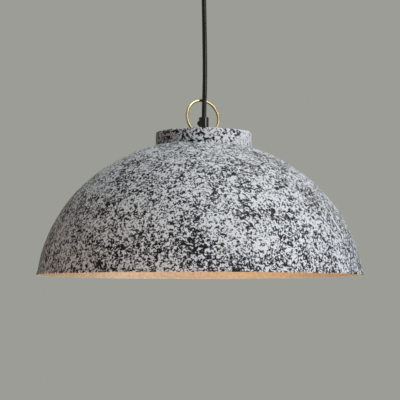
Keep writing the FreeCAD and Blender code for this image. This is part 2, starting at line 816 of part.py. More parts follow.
def makeBoss():
    # a turned brass boss on the tube, with a neck, and a cross hole for the ring's two ends
    bore = "tubeRadius + tubeFit"
    body = turnedBody(
        "ring_boss",
        [
            (bore, "0"),
            ("bossRadius - bossBevel", "0"),
            ("bossRadius", "bossBevel"),
            ("bossRadius", "bossBevel + bossBand"),
            ("bossNeck", "bossBevel + bossBand + bossStep"),
            ("bossNeck", "bossBevel + bossBand + bossNeckHeight"),
            ("bossRadius", "bossBevel + bossBand + bossStep + bossNeckHeight"),
            ("bossRadius", "bossHeight - bossBevel"),
            ("bossRadius - bossBevel", "bossHeight"),
            (bore, "bossHeight"),
        ],
        z="bossFoot",
        turn=FreeCAD.Rotation(V(0, 0, 1), value("ringYaw")),
    )
    across = sketchOn(body, "YZ_Plane", "pin_hole")
    circle(across, "ringWire + pinFit", y="ringPivotRise")
    pocket(body, across, "pin_holes", both=True)


def makeRing():
    # one wire bent to a circle whose ends turn in as pins; the frame is the pivot, with X along the pins
    turn = FreeCAD.Rotation(V(0, 0, 1), value("ringYaw")) * FreeCAD.Rotation(V(1, 0, 0), -value("ringLean"))
    body = newBody("hanging_ring", z="ringPivot", turn=turn)
    path = sketchOn(body, "XZ_Plane", "wire_path")
    big, bend, start = value("ringRadius"), value("ringBend"), value("ringPinStart")
    centre = V(0, big - value("ringSink"), 0)
    bendX = math.sqrt((big - bend) ** 2 - (centre.y - bend) ** 2)
    rise = math.atan2(bend - centre.y, bendX)
    up = V(0, 0, 1)
    rightPin = path.addGeometry(Part.LineSegment(V(start, 0, 0), V(bendX, 0, 0)), False)
    rightBend = path.addGeometry(
        Part.ArcOfCircle(Part.Circle(V(bendX, bend, 0), up, bend), -math.pi / 2, rise), False
    )
    hoop = path.addGeometry(Part.ArcOfCircle(Part.Circle(centre, up, big), rise, math.pi - rise), False)
    leftBend = path.addGeometry(
        Part.ArcOfCircle(Part.Circle(V(-bendX, bend, 0), up, bend), math.pi - rise, 3 * math.pi / 2), False
    )
    leftPin = path.addGeometry(Part.LineSegment(V(-bendX, 0, 0), V(-start, 0, 0)), False)
    for first, second in ((rightPin, rightBend), (rightBend, hoop), (hoop, leftBend), (leftBend, leftPin)):
        join(path, "Tangent", first, 2, second, 1)
    fixPoint(path, rightPin, 1, "ringPinStart", "0")
    join(path, "Horizontal", rightPin)
    join(path, "Horizontal", leftPin)
    join(path, "Symmetric", rightPin, 1, leftPin, 2, -2)
    limit(path, "Radius", "ringRadius", hoop)
    limit(path, "Radius", "ringBend", rightBend)
    join(path, "Equal", rightBend, leftBend)
    join(path, "PointOnObject", hoop, 3, -2)
    limit(path, "DistanceY", "ringRadius - ringSink", -1, 1, hoop, 3)
    section = sketchOn(body, "YZ_Plane", "wire_section", "ringPinStart")
    circle(section, "ringWire")
    wire = body.newObject("PartDesign::AdditivePipe", "wire")
    wire.Profile = section
    wire.Spine = path
    doc.recompute()


def makeLampGrip():
    bore = "cordRadius + cordSlip"
    socket = "tubeRadius + tubeFit"
    body = turnedBody(
        "cord_grip",
        [
            (socket, "0"),
            ("gripRadius", "0"),
            ("gripRadius", "gripHeight"),
            (bore, "gripHeight"),
            (bore, "gripSocket"),
            (socket, "gripSocket"),
        ],
        z="bossTop",
    )
    soften(body, "grip_edge", "gripRound", roundAt("gripRadius", "gripHeight"))
    gripHole(body, "screw_hole_lamp", "gripScrewRise")


# ---------------------------------------------------------------- lampholder


def makeHolder():
    chamber = "capRadius - plasticWall"
    bore = "tubeRadius + tubeFit"
    cap = turnedBody(
        "holder_cap",
        [
            (chamber, "0"),
            ("capRadius", "0"),
            ("capRadius", "capSide"),
            ("capNeck", "capHeight - capNeckHeight"),
            ("capNeck", "capHeight"),
            (bore, "capHeight"),
            (bore, "capHeight - capNeckHeight - plasticWall / 2"),
            (chamber, "capSide - plasticWall / 2"),
        ],
        z="capFoot",
    )
    soften(cap, "cap_shoulder", "capShoulder", roundAt("capRadius", "capSide"))
    soften(cap, "cap_throat", "capThroat", roundAt("capNeck", "capHeight - capNeckHeight"))
    side = sketchOn(cap, "YZ_Plane", "grub_spot")
    circle(side, "grubRadius + screwFit", y="capHeight - capNeckHeight / 2")
    pocket(cap, side, "grub_hole", "capNeck + plasticWall", flip=True)

    grub = newBody("holder_grub_screw", z="capFoot")
    spot = sketchOn(grub, "YZ_Plane", "grub_round", "tubeRadius + tubeFit")
    circle(spot, "grubRadius", y="capHeight - capNeckHeight / 2")
    pad(grub, spot, "grub", "capNeck - tubeRadius + edgeBevel")

    inner = "holderBore + holderShellWall + skirtRoom"
    skirt = turnedBody(
        "holder_skirt",
        [
            (inner, "0"),
            ("skirtRadius", "0"),
            ("skirtRadius", "skirtHeight - skirtFlange"),
            ("capRadius", "skirtHeight - skirtFlange + skirtStep"),
            ("capRadius", "skirtHeight"),
            (f"{chamber} + glueGap", "skirtHeight"),
            (f"{chamber} + glueGap", "skirtHeight - insertHeight + insertRise"),
            (inner, "skirtHeight - insertHeight + insertRise"),
        ],
        z="skirtFootLevel",
    )
    soften(skirt, "skirt_edge", "softEdge", roundAt("skirtRadius", "0"))
    flute = sketchOn(skirt, "XY_Plane", "flute_round", "fluteStart")
    circle(flute, "fluteRadius", x="skirtRadius + fluteRadius - fluteDepth")
    cut = pocket(skirt, flute, "flute", "skirtHeight - skirtFlange - 2 * fluteStart", flip=True)
    ring = skirt.newObject("PartDesign::PolarPattern", "flutes_round_skirt")
    ring.Originals = [cut]
    ring.Axis = (flute, ["N_Axis"])
    ring.Angle = 360
    ring.setExpression("Occurrences", ref("flutes"))
    skirt.Tip = ring
    doc.recompute()

    # the insert fills the skirt's top and carries both contacts and the two wire terminals
    insert = newBody("holder_insert", z="insertFoot")
    plate = sketchOn(insert, "XY_Plane", "insert_round")
    circle(plate, f"{chamber} - insertGap")
    pad(insert, plate, "insert_block", "insertHeight")
    well = sketchOn(insert, "XY_Plane", "wire_wells", "insertHeight")
    low, high = "holderScrewSpot - wireWellRoom", "holderScrewSpot + wireWellRoom"
    outline(well, [(f"{low} - leadRoom", low), (high, low), (high, high), (f"{low} - leadRoom", high)])
    wells = pocket(insert, well, "wire_well", "wireWellDepth")
    mirror(insert, [wells], "wire_wells_both", "XZ_Plane")
    insertRim = roundAt(f"{chamber} - insertGap", "insertHeight")
    soften(insert, "insert_edge", "softEdge", insertRim, kind="Chamfer")

    screws = newBody("holder_terminal_screws", z="insertFoot + insertHeight - wireWellDepth")
    screws.AllowCompound = True
    spots = sketchOn(screws, "XY_Plane", "holder_screw_spots")
    circle(spots, "holderScrewHead", "holderScrewSpot", "holderScrewSpot")
    heads = pad(screws, spots, "holder_screw", "wireWellDepth - softEdge")
    mirror(screws, [heads], "holder_screws_both", "XZ_Plane")

    turnedBody(
        "holder_shell",
        [
            ("holderBore", "0"),
            ("holderBore + holderShellWall", "0"),
            ("holderBore + holderShellWall", "holderShellHeight"),
            ("holderBore - holderShellLip", "holderShellHeight"),
            ("holderBore - holderShellLip", "holderShellHeight - holderShellWall"),
            ("holderBore", "holderShellHeight - holderShellWall"),
        ],
        z="insertFoot - holderShellHeight",
    )

    # the centre contact is a spring tongue with a raised button, against the insert's underside
    turnedBody(
        "holder_centre_contact",
        [
            ("0", "0"),
            ("centreSpringWidth / 3", "0"),
            ("centreSpringWidth / 2", "springReach - springThickness"),
            ("centreSpringWidth", "springReach - springThickness"),
            ("centreSpringWidth", "springReach"),
            ("0", "springReach"),
        ],
        z="insertFoot - springReach",
    )


# ---------------------------------------------------------------- bulb


def makeBulb():
    # the carrier of the bulb's travel is its centre contact; the glass, cap and insulator turn below it
    turnedBody(
        "bulb_contact",
        [
            ("0", "0"),
            ("bulbTipRadius", "0"),
            ("bulbTipRadius", "bulbTipHeight * 0.5"),
            ("bulbTipRadius * 0.7", "bulbTipHeight"),
            ("0", "bulbTipHeight"),
        ],
        z="bulbTop - bulbTipHeight",
    )
    turnedBody(
        "bulb_insulator",
        [
            ("0", "0"),
            ("bulbCapRadius - bulbCapWall - bulbCapShoulder * 0.6", "0"),
            ("bulbTipRadius + bulbTipHeight", "bulbInsulatorHeight - bulbInsulatorGap"),
            ("0", "bulbInsulatorHeight - bulbInsulatorGap"),
        ],
        z="bulbTop - bulbTipHeight - bulbInsulatorHeight",
    )
    outer = "bulbCapRadius"
    inner = "bulbCapRadius - bulbCapWall"
    turnedBody(
        "bulb_cap",
        [
            (inner, "0"),
            (outer, "0"),
            (outer, "bulbCapLength - bulbCapShoulder"),
            (f"{outer} - bulbCapShoulder", "bulbCapLength"),
            (f"{inner} - bulbCapShoulder - bulbCapWall", "bulbCapLength"),
            (inner, "bulbCapLength - bulbCapShoulder - bulbCapWall"),
        ],
        z="bulbCapFoot",
    )
    # the glass: a ball that runs out in straight sides to a neck inside the cap
    body = newBody("bulb_glass", z="bulbFoot")
    side = sketchOn(body, "XZ_Plane", "glass_outline")
    top = value("bulbCapFoot - bulbFoot + bulbNeckInCap")
    neckFoot = value("bulbCapFoot - bulbFoot - bulbNeckDrop")
    lines = {}
    for name, inset in (("outer", 0.0), ("inner", value("bulbGlassWall"))):
        ball, neck = value("bulbRadius") - inset, value("bulbNeck") - inset
        middle = V(0, value("bulbRadius"), 0)
        foot = V(neck, neckFoot, 0)
        reach = foot - middle
        # the straight side touches the ball where a line from the neck's foot does
        angle = math.atan2(reach.y, reach.x) - math.acos(ball / reach.Length)
        touch = middle + V(math.cos(angle), math.sin(angle), 0) * ball
        arc = Part.ArcOfCircle(Part.Circle(middle, V(0, 0, 1), ball), -math.pi / 2, angle)
        lines[name] = [
            side.addGeometry(arc, False),
            side.addGeometry(Part.LineSegment(touch, foot), False),
            side.addGeometry(Part.LineSegment(foot, V(neck, top, 0)), False),
        ]
        ballArc, slope, neckLine = lines[name]
        wall = "0" if name == "outer" else "bulbGlassWall"
        join(side, "Tangent", ballArc, 2, slope, 1)
        join(side, "Coincident", slope, 2, neckLine, 1)
        fixPoint(side, ballArc, 3, "0", "bulbRadius")
        join(side, "PointOnObject", ballArc, 1, -2)
        limit(side, "Radius", f"bulbRadius - {wall}", ballArc)
        fixPoint(side, neckLine, 1, f"bulbNeck - {wall}", "bulbCapFoot - bulbFoot - bulbNeckDrop")
        fixPoint(side, neckLine, 2, f"bulbNeck - {wall}", "bulbCapFoot - bulbFoot + bulbNeckInCap")
    closing = [
        (lines["outer"][2], 2, lines["inner"][2], 2),
        (lines["outer"][0], 1, lines["inner"][0], 1),
    ]
    for a, endA, b, endB in closing:
        ends = [side.getPoint(a, endA), side.getPoint(b, endB)]
        line = side.addGeometry(Part.LineSegment(*ends), False)
        join(side, "Coincident", line, 1, a, endA)
        join(side, "Coincident", line, 2, b, endB)
    revolve(body, side, "glass_spin")
    soften(body, "glass_neck", "bulbNeckRound", roundAt("bulbNeck", "bulbCapFoot - bulbFoot - bulbNeckDrop"))


# ---------------------------------------------------------------- cord and leads


def makeCords():
    # the cord hangs almost straight, with the slight sideways set of a cord that was coiled in its box
    pivot, top = value("swayPivot"), value("gripTop")
    low = value("nutFoot - tubeInHolder - cordEndBelowTube")
    route = [
        V(0, 0, low),
        V(0, 0, top + 2),
        V(1.8, 0, top + 52),
        V(1.3, 0, top + 108),
        V(0, 0, pivot),
    ]
    radius = value("cordRadius")
    tubeAlong("cord", route, radius, roundEnd=route[-1])
    # the cord's own end, held in the canopy's grip
    end = newBody("cord_end", z="swayPivot + cordRadius + seatGap")
    sheath = sketchOn(end, "XY_Plane", "sheath")
    circle(sheath, "cordRadius")
    pad(end, sheath, "sheath_pad", "outletLength + outletStem - bellDepth - cordRadius + cordEndInCanopy")
    # two leads from the cord's end up into the terminal block
    lead = value("leadRadius")
    apart = value("leadApart")
    sheathTop = value("outletFoot + outletLength + outletStem + cordEndInCanopy + seatGap")
    pole, reach = value("bracketWidth / 2 + blockDepth / 2"), value("blockWidth / 2 - poleInset")
    inBarrel = value("blockFoot") + 5
    middle = (sheathTop + value("blockFoot")) / 2
    for name, side in (("ceiling_lead_live", 1), ("ceiling_lead_neutral", -1)):
        path = [
            V(side * apart, 0, sheathTop),
            V(side * apart, 0, middle),
            V(side * reach, pole, middle),
            V(side * reach, pole, inBarrel),
        ]
        tubeAlong(name, path, lead, endShare=0.9)
    # two leads from the cord's lower end to the lampholder's screws
    wellFoot = value("insertFoot + insertHeight - wireWellDepth + softEdge")
    beside = value("holderScrewSpot - holderScrewHead - leadRadius - seatGap")
    along = value("holderScrewSpot") - 1
    middle = (low + wellFoot) / 2
    for name, side in (("holder_lead_live", 1), ("holder_lead_neutral", -1)):
        path = [
            V(0, side * apart, low),
            V(0, side * apart, middle + 3),
            V(beside, side * along, middle - 3),
            V(beside, side * along, wellFoot),
        ]
        tubeAlong(name, path, lead, endShare=0.9)


makeBracket()
makeCanopy()
makeCanopyScrews()
makeCanopyGrip()
gripScrew("canopy_grip_screw", "outletRadius", "outletFoot + outletScrewRise")
hexNut("canopy_grip_nut", "outletNutFlats", "outletNutHeight", "nutBevel", "-canopyHeight + canopyWall")
makeTerminalBlock()
makeDome()
makeCollar()
makeDisc()
sleeve("top_washer", "topWasherRadius", "tubeRadius + tubeFit", "washerThickness", "discTop")
sleeve(
    "under_washer",
    "underWasherRadius",
    "tubeRadius + tubeFit",
    "washerThickness",
    "discFoot - washerThickness",
)
hexNut("under_nut", "nutFlats", "nutHeight", "nutBevel", "nutFoot")
sleeve(
    "threaded_tube",
    "tubeRadius",
    "tubeBore",
    "bossTop + tubeInGrip - nutFoot + tubeInHolder",
    "nutFoot - tubeInHolder",
)
makeBoss()
makeRing()
makeLampGrip()
gripScrew("cord_grip_screw", "gripRadius", "bossTop + gripScrewRise")
makeHolder()
makeBulb()
makeCords()
doc.recompute()

# ---------------------------------------------------------------- check and write

for item in doc.Objects:
    if {"Invalid", "Error"} & set(item.State):
        raise RuntimeError(f"{item.Name} failed: {item.State}")
    if item.isDerivedFrom("Sketcher::SketchObject") and not item.FullyConstrained:
        print(f"note: {item.Name} isn't fully constrained")
os.makedirs("parts", exist_ok=True)
for part in subparts:
    shape = part.Shape
    if shape.isNull() or not shape.isValid() or shape.Volume <= 0:
        raise RuntimeError(f"{part.Label} has no valid shape")
    shape.exportStep(f"parts/{part.Label}.step")
print(f"{len(subparts)} sub-parts written")
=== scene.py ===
import json
import math

import bmesh
import bpy
import numpy as np
from mathutils import Matrix, Vector, noise


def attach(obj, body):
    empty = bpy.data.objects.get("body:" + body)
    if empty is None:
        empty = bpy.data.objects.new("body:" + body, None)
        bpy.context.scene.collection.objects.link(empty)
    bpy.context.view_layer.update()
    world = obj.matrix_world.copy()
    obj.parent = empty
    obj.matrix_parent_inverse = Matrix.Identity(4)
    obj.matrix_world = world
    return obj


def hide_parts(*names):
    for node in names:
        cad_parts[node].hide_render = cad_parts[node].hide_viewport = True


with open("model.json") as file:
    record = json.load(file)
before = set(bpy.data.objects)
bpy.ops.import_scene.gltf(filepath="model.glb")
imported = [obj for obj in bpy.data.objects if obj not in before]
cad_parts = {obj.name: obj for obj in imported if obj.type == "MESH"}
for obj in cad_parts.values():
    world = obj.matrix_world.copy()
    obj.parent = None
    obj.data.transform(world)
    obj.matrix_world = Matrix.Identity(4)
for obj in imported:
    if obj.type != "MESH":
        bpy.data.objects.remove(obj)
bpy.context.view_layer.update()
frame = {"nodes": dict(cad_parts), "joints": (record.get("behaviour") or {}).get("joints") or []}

nodes = frame["nodes"]
mm = 0.001
sharpAngle = 32  # in degrees; an edge sharper than this isn't smoothed over
weldGap = 1e-7  # in metres; points closer than this become one
noiseCell = 2.2  # a cell of the noise texture is this many marks wide
multiplyAdd = {"operation": "MULTIPLY_ADD"}
print("frame loaded")


# values are in mm and degrees where no note says otherwise; up is +Z, and the photo looks along +Y


def toLinear(hexColour):
    # an sRGB hex colour as the linear colour that shaders take
    parts = [int(hexColour[i : i + 2], 16) / 255 for i in (0, 2, 4)]
    return tuple(p / 12.92 if p <= 0.04045 else ((p + 0.055) / 1.055) ** 2.4 for p in parts) + (1.0,)


def grey(level):
    return (level, level, level, 1.0)


def setStops(colourRamp, stops):
    # gives a colour ramp its places and colours
    elements = colourRamp.elements
    while len(elements) < len(stops):
        elements.new(0.5)
    for element, (place, colour) in zip(elements, stops):
        element.position = place
        element.color = colour


def addNode(tree, kind, settings=None, inputs=None, output=0):
    # adds a node with its settings, and a value or another node's output for each input that is named
    item = tree.nodes.new(kind)
    for name, value in (settings or {}).items():
        if name == "stops":
            setStops(item.color_ramp, value)
        else:
            setattr(item, name, value)
    for name, value in (inputs or {}).items():
        if isinstance(value, bpy.types.NodeSocket):
            tree.links.new(value, item.inputs[name])
        else:
            item.inputs[name].default_value = value
    return item.outputs[output] if len(item.outputs) else None


def newMaterial(name):
    made = bpy.data.materials.new(name)
    made.use_nodes = True
    made.node_tree.nodes.clear()
    return made, made.node_tree


def finishMaterial(tree, inputs):
    surface = addNode(tree, "ShaderNodeBsdfPrincipled", {}, inputs)
    addNode(tree, "ShaderNodeOutputMaterial", {}, {"Surface": surface})


def meshObject(name, verts, faces, materials, faceMaterials=None, sharp=sharpAngle):
    # a welded mesh from points in metres, with its normals outward
    mesh = bpy.data.meshes.new(name)
    mesh.from_pydata([tuple(v) for v in verts], [], [tuple(f) for f in faces])
    for material in materials:
        mesh.materials.append(material)
    if faceMaterials is not None:
        mesh.polygons.foreach_set("material_index", np.asarray(faceMaterials, np.int32))
    made = bpy.data.objects.new(name, mesh)
    bpy.context.scene.collection.objects.link(made)
    shell = bmesh.new()
    shell.from_mesh(mesh)
    bmesh.ops.remove_doubles(shell, verts=shell.verts, dist=weldGap)
    bmesh.ops.recalc_face_normals(shell, faces=shell.faces)
    shell.to_mesh(mesh)
    shell.free()
    mesh.shade_smooth()
    mesh.set_sharp_from_angle(angle=math.radians(sharp))
    return made


def rounded(corners, steps=6, closed=True):
    # an outline from corners of radius, height and rounding, with each corner turned into an arc
    points = []
    count = len(corners)
    for i, (x, y, r) in enumerate(corners):
        here = np.array([x, y], float)
        if r == 0 or (not closed and i in (0, count - 1)):
            points.append(here)
            continue
        back = np.array(corners[i - 1][:2], float) - here
        ahead = np.array(corners[(i + 1) % count][:2], float) - here
        back /= np.linalg.norm(back)
        ahead /= np.linalg.norm(ahead)
        half = math.acos(max(-1, min(1, float(back @ ahead)))) / 2
        reach = r / math.tan(half)
        middle = here + (back + ahead) / np.linalg.norm(back + ahead) * r / math.sin(half)
        start, end = here + back * reach - middle, here + ahead * reach - middle
        first = math.atan2(start[1], start[0])
        turn = (math.atan2(end[1], end[0]) - first + math.pi) % (2 * math.pi) - math.pi
        for k in range(steps + 1):
            angle = first + turn * k / steps
            points.append(middle + r * np.array([math.cos(angle), math.sin(angle)]))
    return np.array(points)


def lathe(
    name, outline, materials, around=96, centre=(0, 0, 0), turn=None, shape=None, closed=True, pick=None
):
    # spins an outline round the upright axis; shape may change radius and height with the angle,
    # and pick gives the material of each step of the outline
    outline = np.asarray(outline, float)
    count = len(outline)
    angles = np.arange(around) * 2 * math.pi / around
    radius = np.repeat(outline[:, 0][:, None], around, 1)
    height = np.repeat(outline[:, 1][:, None], around, 1)
    if shape:
        radius, height = shape(radius, height, np.repeat(angles[None, :], count, 0))
    grid = np.stack([radius * np.cos(angles), radius * np.sin(angles), height], -1)
    verts = grid.reshape(-1, 3)
    steps = count if closed else count - 1
    a, b = np.meshgrid(np.arange(steps), np.arange(around), indexing="ij")
    c, d = (a + 1) % count, (b + 1) % around
    faces = np.stack([a * around + b, a * around + d, c * around + d, c * around + b], -1).reshape(-1, 4)
    slots = None if pick is None else np.array([pick(i) for i in range(steps)]).repeat(around)
    made = meshObject(name, verts * mm, faces, materials, slots)
    matrix = (turn or Matrix.Identity(4)).copy()
    matrix.translation = Vector(centre) * mm
    made.data.transform(matrix)
    return made


def tube(name, points, radius, materials, sides, sharp=50):
    # a round wire along a line of points, closed at both ends
    spots = [Vector(p) for p in points]
    tangents = [(b - a).normalized() for a, b in zip(spots, spots[1:])]
    side = tangents[0].orthogonal().normalized()
    verts = []
    for i, spot in enumerate(spots):
        ahead = tangents[min(i, len(tangents) - 1)]
        back = tangents[max(i - 1, 0)]
        along = (ahead + back).normalized()
        side = (side - along * side.dot(along)).normalized()
        other = along.cross(side)
        for k in range(sides):
            angle = 2 * math.pi * k / sides
            verts.append((spot + (side * math.cos(angle) + other * math.sin(angle)) * radius) * mm)
    faces = []
    for i in range(len(spots) - 1):
        here, there = i * sides, (i + 1) * sides
        for k in range(sides):
            beside = (k + 1) % sides
            faces.append((here + k, here + beside, there + beside, there + k))
    faces += [tuple(range(sides)), tuple(range((len(spots) - 1) * sides, len(spots) * sides))]
    return meshObject(name, verts, faces, materials, sharp=sharp)


def carve(piece, size, place, turn):
    # takes a turned block out of a piece, such as the slot of a screw
    matrix = turn.copy()
    matrix.translation = Vector(place) * mm
    half = Vector(size) * mm / 2
    signs = [(x, y, z) for x in (-1, 1) for y in (-1, 1) for z in (-1, 1)]
    corners = [matrix @ Vector((half.x * x, half.y * y, half.z * z)) for x, y, z in signs]
    faces = [(0, 1, 3, 2), (4, 6, 7, 5), (0, 4, 5, 1), (2, 3, 7, 6), (0, 2, 6, 4), (1, 5, 7, 3)]
    block = meshObject("cutter", corners, faces, list(piece.data.materials))
    cut = piece.modifiers.new("slot", "BOOLEAN")
    cut.object = block
    cut.solver = "EXACT"
    bpy.context.view_layer.update()
    graph = bpy.context.evaluated_depsgraph_get()
    carved = bpy.data.meshes.new_from_object(piece.evaluated_get(graph))
    piece.modifiers.clear()
    piece.data = carved
    bpy.data.objects.remove(block)
    carved.shade_smooth()
    carved.set_sharp_from_angle(angle=math.radians(sharpAngle))


def ends(node):
    # the heights of a CAD piece's foot and top, to a tenth
    piece = nodes[node]
    levels = [(piece.matrix_world @ point.co).z / mm for point in piece.data.vertices]
    return round(min(levels), 1), round(max(levels), 1)


gripFoot, gripTop = ends("cord_grip")
discFoot, discTop = ends("collar_disc")
nutFoot = ends("under_nut")[0]
pivots = {joint["name"]: round(joint["pos_m"][2] / mm, 1) for joint in frame["joints"] if "pos_m" in joint}
swayPivot = pivots["pendant_sway"]
ringPivot = pivots["ring_fold"]


# shade: white paper pulp with black flecks outside, granular gold paint inside


fleck = {
    "white": "ECECEF",
    "ash": "8A8B90",
    "black": "101013",
    "cream": "E6DCC0",
    # the width of a mark, then the noise's detail, distortion and roughness; the paper's own don't scale
    "marks": {
        "worms": (2.0, 2.0, 1.0, 0.6),
        "crumbs": (1.05, 1.0, 0.6, 0.5),
        "clusters": (13.0, 2.0, 0.4, 0.5),
    },
    "paper": {
        "stains": (6.0, 1.0, 0.3, 0.5),
        "strips": (9.0, 3.0, 0.8, 0.5),
    },
    # how much each of these adds to the worms, and what is then taken off
    "crumbGain": 0.55,
    "clusterGain": 0.32,
    "crownGain": 0.2,
    "takenOff": 0.384,
    # where black, ash and white stand between 0 and 1
    "blackAt": 0.402,
    "ashAt": 0.455,
    "whiteAt": 0.515,
    # where the cream stains begin and are full, and how strong they are then
    "stainFrom": 0.7,
    "stainTo": 0.76,
    "stainDepth": 0.7,
    "fleckRelief": 0.25,
    "reliefStrength": 0.5,
    "reliefDepth": 0.9,
    "roughness": 0.62,
    "crumbGloss": 0.18,  # how much glossier the whitest crumbs are
    "shine": 0.22,
}


def flecked(name, scale, lean, balance):
    # gives the eye a semi-matt white ground broken by crooked black flecks that crowd in clusters;
    # scale makes the flecks bigger, lean makes them darker towards -X, partly painted shade on the side away
    # from the light, and balance adds white
    material, tree = newMaterial(name)
    place = addNode(tree, "ShaderNodeTexCoord", output="Object")
    axes = addNode(tree, "ShaderNodeSeparateXYZ", {}, {0: place}).node.outputs
    noises = {}
    for group, growth in (("marks", scale), ("paper", 1)):
        for part, (width, detail, distortion, roughness) in fleck[group].items():
            inputs = {
                "Vector": place,
                "Scale": 1000 / (width * growth) / noiseCell,
                "Detail": detail,
                "Distortion": distortion,
                "Roughness": roughness,
            }
            noises[part] = addNode(tree, "ShaderNodeTexNoise", {}, inputs, "Fac")
    # the flecks crowd towards -X, partly painted shade on the side away from the light, and thin out a
    # little towards the crown, because X and Z add to the level
    shares = (
        (noises["crumbs"], fleck["crumbGain"]),
        (noises["clusters"], fleck["clusterGain"]),
        (axes["X"], lean),
        (axes["Z"], fleck["crownGain"]),
    )
    level = noises["worms"]
    for part, gain in shares:
        level = addNode(tree, "ShaderNodeMath", multiplyAdd, {0: part, 1: gain, 2: level})
    takenOff = fleck["takenOff"] - balance
    level = addNode(tree, "ShaderNodeMath", {"operation": "SUBTRACT"}, {0: level, 1: takenOff})
    fleckStops = [(fleck[colour + "At"], toLinear(fleck[colour])) for colour in ("black", "ash", "white")]
    colour = addNode(tree, "ShaderNodeValToRGB", {"stops": fleckStops}, {"Fac": level})
    stainStops = [(fleck["stainFrom"], grey(0)), (fleck["stainTo"], grey(fleck["stainDepth"]))]
    stain = addNode(tree, "ShaderNodeValToRGB", {"stops": stainStops}, {"Fac": noises["stains"]})
    mixing = {"data_type": "RGBA", "blend_type": "MULTIPLY"}
    tint = addNode(tree, "ShaderNodeMix", mixing, {0: stain, 6: colour, 7: toLinear(fleck["cream"])}, 2)
    relief = {0: level, 1: fleck["fleckRelief"], 2: noises["strips"]}
    dents = {
        "Strength": fleck["reliefStrength"],
        "Distance": fleck["reliefDepth"] * mm,
        "Height": addNode(tree, "ShaderNodeMath", multiplyAdd, relief),
    }
    gloss = {0: noises["crumbs"], 1: -fleck["crumbGloss"], 2: fleck["roughness"]}
    finishMaterial(
        tree,
        {
            "Base Color": tint,
            "Roughness": addNode(tree, "ShaderNodeMath", multiplyAdd, gloss),
            "Specular IOR Level": fleck["shine"],
            "Normal": addNode(tree, "ShaderNodeBump", {}, dents),
        },
    )
    return material


gold = {
    "light": "F7DCB8",
    "deep": "E8C399",
    "grain": 1.7,
    "grainDetail": 3.0,
    "patches": 14.0,  # cells in a metre, so a patch is some 70 mm wide
    "patchDetail": 2.0,
    "patchGain": 0.35,
    "deepAt": 0.5,
    "lightAt": 0.78,
    "reliefStrength": 0.6,
    "reliefDepth": 0.6,
    "roughness": 0.5,
    "metallic": 0.35,
}


def goldPaint():
    # gives the eye a matt coppery gold with sand in it, light on the grains and deeper between them
    material, tree = newMaterial("granularGoldPaint")
    place = addNode(tree, "ShaderNodeTexCoord", output="Object")
    sand = {"Vector": place, "Scale": 1000 / gold["grain"] / noiseCell, "Detail": gold["grainDetail"]}
    grains = addNode(tree, "ShaderNodeTexNoise", {}, sand, "Fac")
    cloud = {"Vector": place, "Scale": gold["patches"], "Detail": gold["patchDetail"]}
    patches = addNode(tree, "ShaderNodeTexNoise", {}, cloud, "Fac")
    both = addNode(tree, "ShaderNodeMath", multiplyAdd, {0: patches, 1: gold["patchGain"], 2: grains})
    stops = [(gold["deepAt"], toLinear(gold["deep"])), (gold["lightAt"], toLinear(gold["light"]))]
    dents = {"Strength": gold["reliefStrength"], "Distance": gold["reliefDepth"] * mm, "Height": grains}
    finishMaterial(
        tree,
        {
            "Base Color": addNode(tree, "ShaderNodeValToRGB", {"stops": stops}, {"Fac": both}),
            "Metallic": gold["metallic"],
            "Roughness": gold["roughness"],
            "Normal": addNode(tree, "ShaderNodeBump", {}, dents),
        },
    )
    return material


# the collar's strong lean paints shade on its left side, away from the light, over flecks that really crowd
# there; the dome's small lean paints the same shade faintly
domeFlecksAndShade = flecked("fleckedPaperPulp", scale=1.0, lean=0.04, balance=0.0)
collarFlecksAndShade = flecked("coarselyFleckedPaperPulp", scale=1.25, lean=0.6, balance=0.026)
insideGold = goldPaint()

lump = {"coarse": 31, "fine": 9, "apart": 50}  # two sizes of lump, and the step between their patterns


def lumps(points, coarse, fine):
    # how far the hand-laid surface dips at each point, from 0 to coarse plus fine
    dips = []
    for x, y, z in points:
        big = noise.noise(Vector((x, y, z)) / lump["coarse"])
        small = noise.noise(Vector((x + lump["apart"], y, z)) / lump["fine"])
        dips.append(coarse * min(1, max(0, 0.5 - big)) + fine * min(1, max(0, 0.5 - small)))
    return np.array(dips)


dome = {
    "wide": 226.0,  # half the width of the outer ellipse
    "high": 210.0,  # half its height
    "cut": 21.0,  # the rim lies this far above the ellipse's middle
    "shift": 5.5,  # the dome hangs this far to the left of the cord
    "wall": 4.5,
    "opening": 52.0,  # radius of the hole in the crown
    "discGap": 0.1,  # between the crown and the disc on it
    "lip": 8.0,  # the rim thickens from this height down
    "lipReach": 0.8,
    "lipEdge": 3.0,  # height of the lip's upper edge
    "lipRounding": 1.4,
    "innerRounding": 1.3,
    "arcSteps": 5,
    "outerSteps": 170,
    "innerSteps": 90,
    "around": 448,
    "coarseDip": 0.55,
    "fineDip": 0.22,
    "dipInward": 0.75,
    "dipDown": 0.45,
    "insideDip": 0.6,  # the inside's share of the outside's dips
    "crownFade": 6,  # the dips fade out over this height under the crown
    "flatFoot": 5,  # below this height the outside isn't pushed down
    "wave": 0.25,
    "waves": (3, 5),  # two counts round the rim, which beat
    "waveStart": 0.7,  # in radians
    "waveHeight": 4,  # the wave fades out up to this height
}
crownRise = dome["high"] * math.sqrt(1 - (dome["opening"] / dome["wide"]) ** 2) - dome["cut"]
rimLevel = discFoot - dome["discGap"] - crownRise


def domeRadius(height):
    # the outer ellipse's radius at a height above the rim
    return dome["wide"] * math.sqrt(1 - ((height + dome["cut"]) / dome["high"]) ** 2)


def ellipse(wide, high, first, last, steps):
    turns = np.linspace(first, last, steps)
    return [(wide * math.cos(t), high * math.sin(t) - dome["cut"]) for t in turns]


